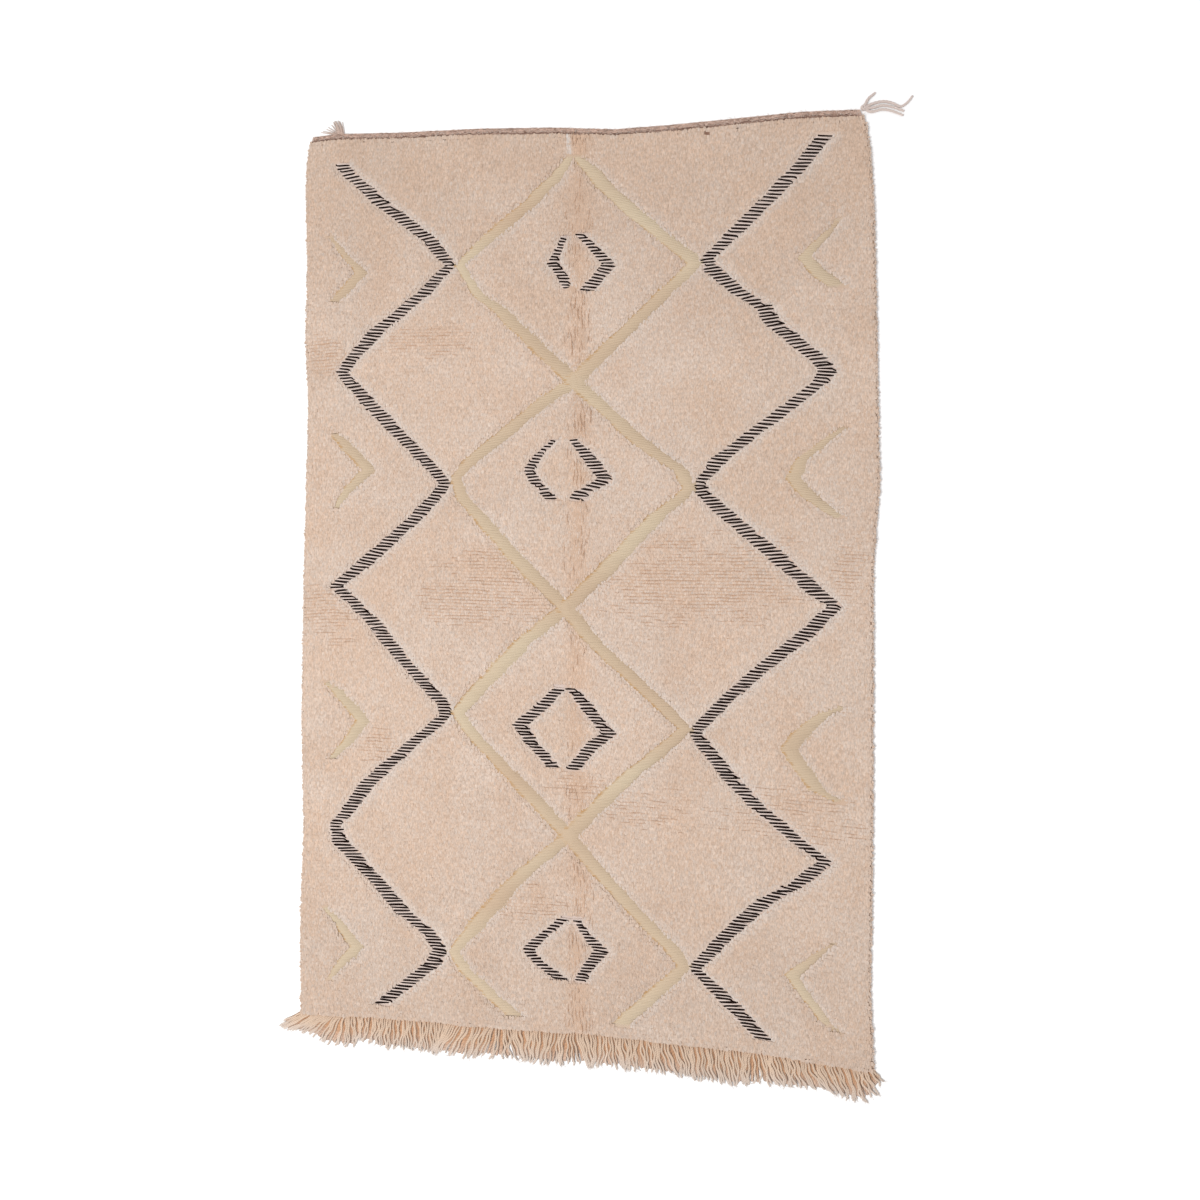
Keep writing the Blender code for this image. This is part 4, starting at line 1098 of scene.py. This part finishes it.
def fringe_layer(count, over):
    """Path = root + drop * t outwards + lean * t^1.25 sideways + a wave that neighbours share. The
    under layer is broad and flat and keeps the floor from showing; the over layer curls on it."""
    steps = 14 if over else 8
    share = np.interp(np.linspace(0, 1, count), (0, 0.14, 1), (0, 0.1, 1))
    share = np.clip(share + rng.normal(0, 0.25 / count, count), 0, 1)
    at, drop_at, lean_at = np.array(FRINGE_LIE, float).T
    shortest, longest = (0.93, 1.04) if over else (0.84, 0.92)
    drop = np.interp(share, at, drop_at) * rng.uniform(shortest, longest, count)
    lean = np.interp(share, at, lean_at) * (1.0 if over else 0.88) + rng.normal(0, 1.0 + 4.5 * over, count)
    across = (share - 0.5) * FRINGE_WIDTH
    root = cloth_point(across, np.full(count, FRINGE_INSIDE))
    run = unit(np.gradient(cloth_point(across, np.zeros(count)), axis=0))
    out = np.c_[run[:, 1], -run[:, 0]]
    t = np.linspace(0, 1, steps)
    phase = 2 * math.pi * share * 17 + 2.5 * np.sin(share * 31)
    wave = (1.0 + 3.4 * over) * np.sin(phase[:, None] + 5.2 * t) * t ** 0.7
    wave = wave * np.clip(drop / 60, 0.3, 1)[:, None]
    if over:
        curl = rng.uniform(1.4, 4.0, (count, 1))
        wave += curl * np.sin(2 * phase[:, None] + rng.normal(0, 1.0, (count, 1)) + 14 * t) * t ** 0.5
    plan = (root[:, None] + out[:, None] * ((drop + FRINGE_INSIDE)[:, None] * t)[..., None]
            + np.array((1.0, 0.0)) * (lean[:, None] * t ** 1.25 + wave)[..., None])
    half = rng.uniform(*OVER_HALF, count) if over else np.full(count, UNDER_HALF)
    half = half[:, None] * (1.0 - 0.15 * t ** 2)
    wide = half * (1.0 if over else 2.6)
    high = half * (0.7 if over else 0.5)
    fall = np.clip(1 - t * 6, 0, 1)
    z = high + 0.1 + 1.6 * fall + (1.7 * np.clip(5 * t, 0, 1) * (1 - 0.25 * t) if over else 0.0)
    z = np.maximum(z + rng.normal(0, 0.25, z.shape), high + 0.05)
    tone = 0.97 - 0.02 * share[:, None, None] + rng.normal(0, 0.045, (count, 1, 1))
    pale = np.clip((t - 0.55) / 0.45, 0, 1)
    deep = np.clip(1 - t / 0.3, 0, 1)
    # The under layer's tan is painted shade under the upper yarns, and the peach-brown near the root is
    # painted shade under the pile's edge.
    shade = blend(FRINGE_CREAM if over else FRINGE_UNDER_SHADE, FRINGE_TIP, pale * (0.8 if over else 0.5))
    shade = blend(shade, FRINGE_ROOT_SHADE, 0.5 * deep) * tone
    return lift(plan, z), wide * MM, high * MM, shade


fringe_under = yarns("fringe_under", *fringe_layer(FRINGE_UNDER, False), FRINGE_FINISH, sides=4)
over_layer = fringe_layer(FRINGE_OVER, True)
fringe_yarns = yarns("fringe_yarns", *over_layer, FRINGE_FINISH, sides=6)

# %% [markdown]
# ## The hem
# At the far end the last wefts are beaten close without any knots, and the innermost is a darker
# cord that shows in dashes; beside the pile its brown is partly painted shadow at the pile's foot.
# A texture could draw them, but from the side a hem is seen by its ridges, so short overlapping
# yarns are laid in four rows.

# %% Bind the hem
# Distances of the rows from the rim; rows past SEAM_FROM are the brown cord, also painted
# shadow at the foot of the pile.
HEM_ROWS, SEAM_FROM = (1.8, 5.2, 8.6, 12.0), 11.0
STITCH_PITCH, STITCH_LONG, STITCH_BASE, STITCH_RISE = 7.0, 12.0, 4.7, 0.7


def hem_stitches():
    """Yarns 12 mm long, one each 7 mm along every row, rising by 0.7 mm * sin(pi t) over the weave.
    The last row is brown in three of five stitches, partly as painted shadow at the foot of the
    pile, the others in one of three and paler."""
    t = np.linspace(0, 1, 3)
    x, back = np.meshgrid(np.arange(-HALF + 3, HALF - 14, STITCH_PITCH), HEM_ROWS)
    x, back = (x + rng.normal(0, 1.2, x.shape)).ravel(), back.ravel()
    y = LOOM_LENGTH - back + rng.normal(0, 0.35, x.shape)
    seam_and_shadow = back > SEAM_FROM
    bent = y[:, None] + rng.normal(0, 1, (len(x), 3)) * np.where(seam_and_shadow, 1.1, 0.4)[:, None]
    z = STITCH_BASE + STITCH_RISE * np.sin(math.pi * t) + 0 * bent
    path = on_floor(x[:, None] + STITCH_LONG * t, bent, z)
    # The last row's brown: the darker cord, and painted shadow at the foot of the pile.
    dark = np.where(seam_and_shadow, rng.uniform(0.4, 0.9, len(x)), rng.uniform(0.1, 0.7, len(x)))
    dark = np.where(rng.uniform(0, 1, len(x)) < np.where(seam_and_shadow, 0.6, 0.35), dark, 0.0)
    ridge = np.where((back > 3) & ~seam_and_shadow, 1.08, 0.93) + rng.normal(0, 0.11, len(x))
    shade = blend(HEM_TAN, SEAM_BROWN, dark[:, None] + 0 * t) * ridge[:, None, None]
    half = rng.uniform(1.3, 1.8, len(x))[:, None] * (1 - 0.8 * (t - 0.5) ** 2)
    return yarns("hem_stitches", path, half * MM, 0.7 * half * MM, shade, WEFT_FINISH, sides=4)


hem_wefts = hem_stitches()

# %% [markdown]
# ## Loose hairs
# Worn wool is furry at its edges: the hem and the sides shed single fibres, and each fringe end
# frays. A hair system would cover everything evenly, so the few hairs that show against the
# floor are placed one by one.

# %% Fray the edges
HEM_HAIRS, SIDE_HAIRS, TIP_HAIRS = 880, 640, 3
EDGE_LONG, TIP_LONG, HAIR_HALF = (4, 10), (6, 12), (0.28, 0.5)
# Heights of the roots on the hem, on the pile behind it, at the sides and at the fringe's tips.
HEM_ROOT, PILE_ROOT, SIDE_ROOT, TIP_ROOT = 6.2, 12.2, 6.0, 2.0


def loose_hairs():
    """Hairs from their roots: root + length * t * direction, with a bend of 0.2 * length * t^2 to one
    side. Each falls to half its root's height, and is half as thick at its end."""
    t = np.linspace(0, 1, 3)
    x = rng.uniform(-HALF + 3, HALF - 3, HEM_HAIRS)
    inset = rng.uniform(0.5, 18.0, HEM_HAIRS)
    hem = cloth_point(x, LOOM_LENGTH - inset)
    hem_way = np.c_[rng.normal(0, 0.9, HEM_HAIRS), np.ones(HEM_HAIRS)]
    y = rng.uniform(5, LOOM_LENGTH - 5, 2 * SIDE_HAIRS)
    side = np.repeat((-1.0, 1.0), SIDE_HAIRS)
    rim = cloth_point(side * (HALF + 0.5), y)
    rim_way = np.c_[side, rng.normal(0, 0.8, 2 * SIDE_HAIRS)]
    tips = np.repeat(over_layer[0][:, -1, :2] / MM, TIP_HAIRS, axis=0)
    tips = tips + rng.normal(0, 1.0, tips.shape)
    last_step = (over_layer[0][:, -1] - over_layer[0][:, -2])[:, :2]
    tip_way = np.repeat(unit(last_step), TIP_HAIRS, axis=0) + rng.normal(0, 0.5, tips.shape)
    root, way = np.concatenate([hem, rim, tips]), unit(np.concatenate([hem_way, rim_way, tip_way]))
    long = np.concatenate([rng.uniform(*EDGE_LONG, HEM_HAIRS), rng.uniform(*EDGE_LONG, 2 * SIDE_HAIRS),
                           rng.uniform(*TIP_LONG, len(tips))])
    long *= rng.uniform(0.7, 1.2, len(long))
    bend = (0.2 * long * rng.choice((-1, 1), len(long)))[:, None] * np.c_[-way[:, 1], way[:, 0]]
    plan = root[:, None] + way[:, None] * (long[:, None] * t)[..., None] + bend[:, None] * (t ** 2)[:, None]
    hem_root = HEM_ROOT + (PILE_ROOT - HEM_ROOT) * np.clip((inset - 11) / 5, 0, 1)
    low = np.concatenate([hem_root, np.repeat((SIDE_ROOT, TIP_ROOT), (2 * SIDE_HAIRS, len(tips)))])
    z = low[:, None] * (1 - 0.5 * t) + rng.uniform(0, 1.0, (len(long), 1))
    half = rng.uniform(*HAIR_HALF, len(long))[:, None] * (1 - 0.5 * t)
    shade = np.broadcast_to(FRINGE_TIP, (len(long), 3, 3)) * (1 + rng.normal(0, 0.05, (len(long), 1, 1)))
    return yarns("loose_hairs", lift(plan, z), half * MM, half * MM, shade, HAIR_FINISH, sides=3)


hairs = loose_hairs()

# %% [markdown]
# ## The corner tassel
# At the far right corner the cord of the selvedge ends in a knot, and its strands lie loose on
# the floor. One tube to a strand would do from afar, but a cord shows its plies where light
# falls along it, so each strand is three plies winding round one path.

# %% Knot and strands
TASSEL_RADIUS, TASSEL_TOWARDS = 9.0, (0.91, 0.41)
# Strands from the middle of the knot: (width, bends ...), in millimetres.
TASSEL_STRANDS = (
    (8.5, (12, 22), (21, 30), (30, 37)),
    (8.6, (23, 9), (49, 13), (72, 7), (92, -3), (109, 6), (122, 22)),
    (8.2, (23, -1), (48, 3), (73, -3), (101, -15)),
    (8.0, (20, -11), (46, -7), (71, -13), (99, -26)),
)
PLY_PITCH, PLIES = 26.0, 3
# Rings of the knot: (height, size against KNOT_RADIUS, tilt). KNOT_PLY is half its yarn's thickness.
KNOT_RADIUS, KNOT_PLY = 5.6, 2.4
KNOT_RINGS = ((2.6, 0.80, 0.0), (5.0, 0.92, 0.5), (7.4, 0.62, -0.4))


def smooth_path(bends, steps):
    """A curve through the bends. Between two of them, b and c, it is the cubic that leaves b in the
    direction from the bend before to c, and reaches c in the direction from b to the bend after."""
    p = np.array(bends, float)
    p = np.concatenate([[2 * p[0] - p[1]], p, [2 * p[-1] - p[-2]]])
    at = np.linspace(0, len(p) - 3 - 1e-6, steps)
    i = np.floor(at).astype(int)
    t = (at - i)[:, None]
    a, b, c, d = p[i], p[i + 1], p[i + 2], p[i + 3]
    bend, twist = 2 * a - 5 * b + 4 * c - d, 3 * b - a - 3 * c + d
    return 0.5 * (2 * b + (c - a) * t + bend * t**2 + twist * t**3)


def wound(path, radius, high, turns, plies):
    """Plies that wind round a path at a radius: path + radius * (side cos a, up sin a)."""
    ahead = unit(np.gradient(path, axis=0))
    side = np.c_[ahead[:, 1], -ahead[:, 0]]
    a = np.linspace(0, 2 * math.pi * turns, len(path)) + round_angles(plies)[:, None]
    flat = path + side * (radius * np.cos(a))[..., None]
    return np.concatenate([flat, (high + 0.8 * radius * np.sin(a))[..., None]], axis=2)


def tassel():
    """Three plies to each strand, and a knot of plies wound round the head."""
    corner = cloth_point([HALF], [LOOM_LENGTH])[0]
    knot = corner + np.array(TASSEL_TOWARDS) * (TASSEL_RADIUS + 0.7)
    steps = 40
    paths, halves = [], []
    for wide, *bends in TASSEL_STRANDS:
        path = smooth_path([(0, 0), *bends], steps) + knot
        length = np.linalg.norm(np.diff(path, axis=0), axis=1).sum()
        taper = np.linspace(1, 0.7, steps)
        paths.append(wound(path, 0.24 * wide * taper, 0.42 * wide, length / PLY_PITCH, PLIES))
        halves.append(np.tile(0.25 * wide * taper, (PLIES, 1)))
    a = np.linspace(0, 2 * math.pi, steps)
    for level, size, tip in KNOT_RINGS:
        paths.append(np.c_[knot + size * KNOT_RADIUS * on_circle(a), level + tip * np.cos(a)][None])
        halves.append(np.full((1, steps), KNOT_PLY))
    paths, halves = np.concatenate(paths) * MM, np.concatenate(halves) * MM
    tone = 1 + rng.normal(0, 0.03, (len(paths), 1, 1))
    shade = np.broadcast_to(TASSEL_PINK, (len(paths), steps, 3)) * tone
    return yarns("tassel_plies", paths, halves, halves, shade, FRINGE_FINISH, sides=7)


tassel_plies = tassel()

# %% [markdown]
# ## The tuft at the hem
# Near the far left corner a short bunch of warp ends was left standing out of the hem. It could
# be a cutting of the fringe, but it fans out from one knot, so it has a small table of its own.

# %% Lay the tuft
# Reaches are (along the hem, outwards) in millimetres, from the left yarn to the right one.
TUFT_SHARE, TUFT_WIDE, TUFT_YARNS = 0.053, 22.0, 18
TUFT_REACHES = ((-47, 8), (-30, 20), (-15, 33), (-14, 37), (-13, 39), (-11, 39), (-9, 38), (-6, 34))


def hem_tuft():
    """Yarns that fan out from the hem: root + reach_x * t^1.3 along and reach_y * t outwards."""
    count, steps = TUFT_YARNS, 12
    x = (TUFT_SHARE - 0.5) * LOOM_WIDTH
    here, further = cloth_point([x, x + 10], [LOOM_LENGTH, LOOM_LENGTH])
    run = unit(further - here)
    share = np.linspace(0, 1, count)
    evenly = np.linspace(0, 1, len(TUFT_REACHES))
    reach = np.stack([np.interp(share, evenly, reaches) for reaches in np.array(TUFT_REACHES, float).T], 1)
    reach += rng.normal(0, 1.5, reach.shape)
    root = here + run * ((share - 0.5) * TUFT_WIDE)[:, None] - np.array((-run[1], run[0])) * 2
    t = np.linspace(0, 1, steps)
    plan = root[:, None] + np.stack([reach[:, :1] * t ** 1.3, reach[:, 1:] * t + 2 * t], axis=-1)
    half = rng.uniform(1.4, 2.0, count)[:, None] * (1 - 0.4 * t)
    z = half + 0.3 + 2.2 * (np.arange(count) % 2)[:, None] * (1 - 0.5 * t)
    tone = 1 + rng.normal(0, 0.06, (count, 1, 1))
    shade = blend(HEM_TAN, FRINGE_TIP, 0.15 + 0.6 * t) * tone
    return yarns("hem_tuft", lift(plan, z), half * MM, half * MM, shade, FRINGE_FINISH, sides=6)


tuft = hem_tuft()

# %% [markdown]
# ## Hang the pieces on the body
# All pieces lie still on one body. The woven parts stand for the rug's solid. They could be
# joined into one mesh, but separate pieces keep their names, so that each can be mended by itself.

# %% Ride and replace
woven = [ground, *pile, locks, dark_wefts, ivory_wefts, khaki_wefts, shaded_roots, hem_wefts, hairs]
for piece in woven:
    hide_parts("rug_body")
for piece in (fringe_under, fringe_yarns):
    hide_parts("fringe")
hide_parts("corner_tassel")
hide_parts("corner_tuft")
everything = [*woven, fringe_under, fringe_yarns, tassel_plies, tuft]
for piece in everything:
    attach(piece, "root")
total = sum(sum(len(f.vertices) - 2 for f in p.data.polygons) for p in everything)
print("triangles in all:", total)
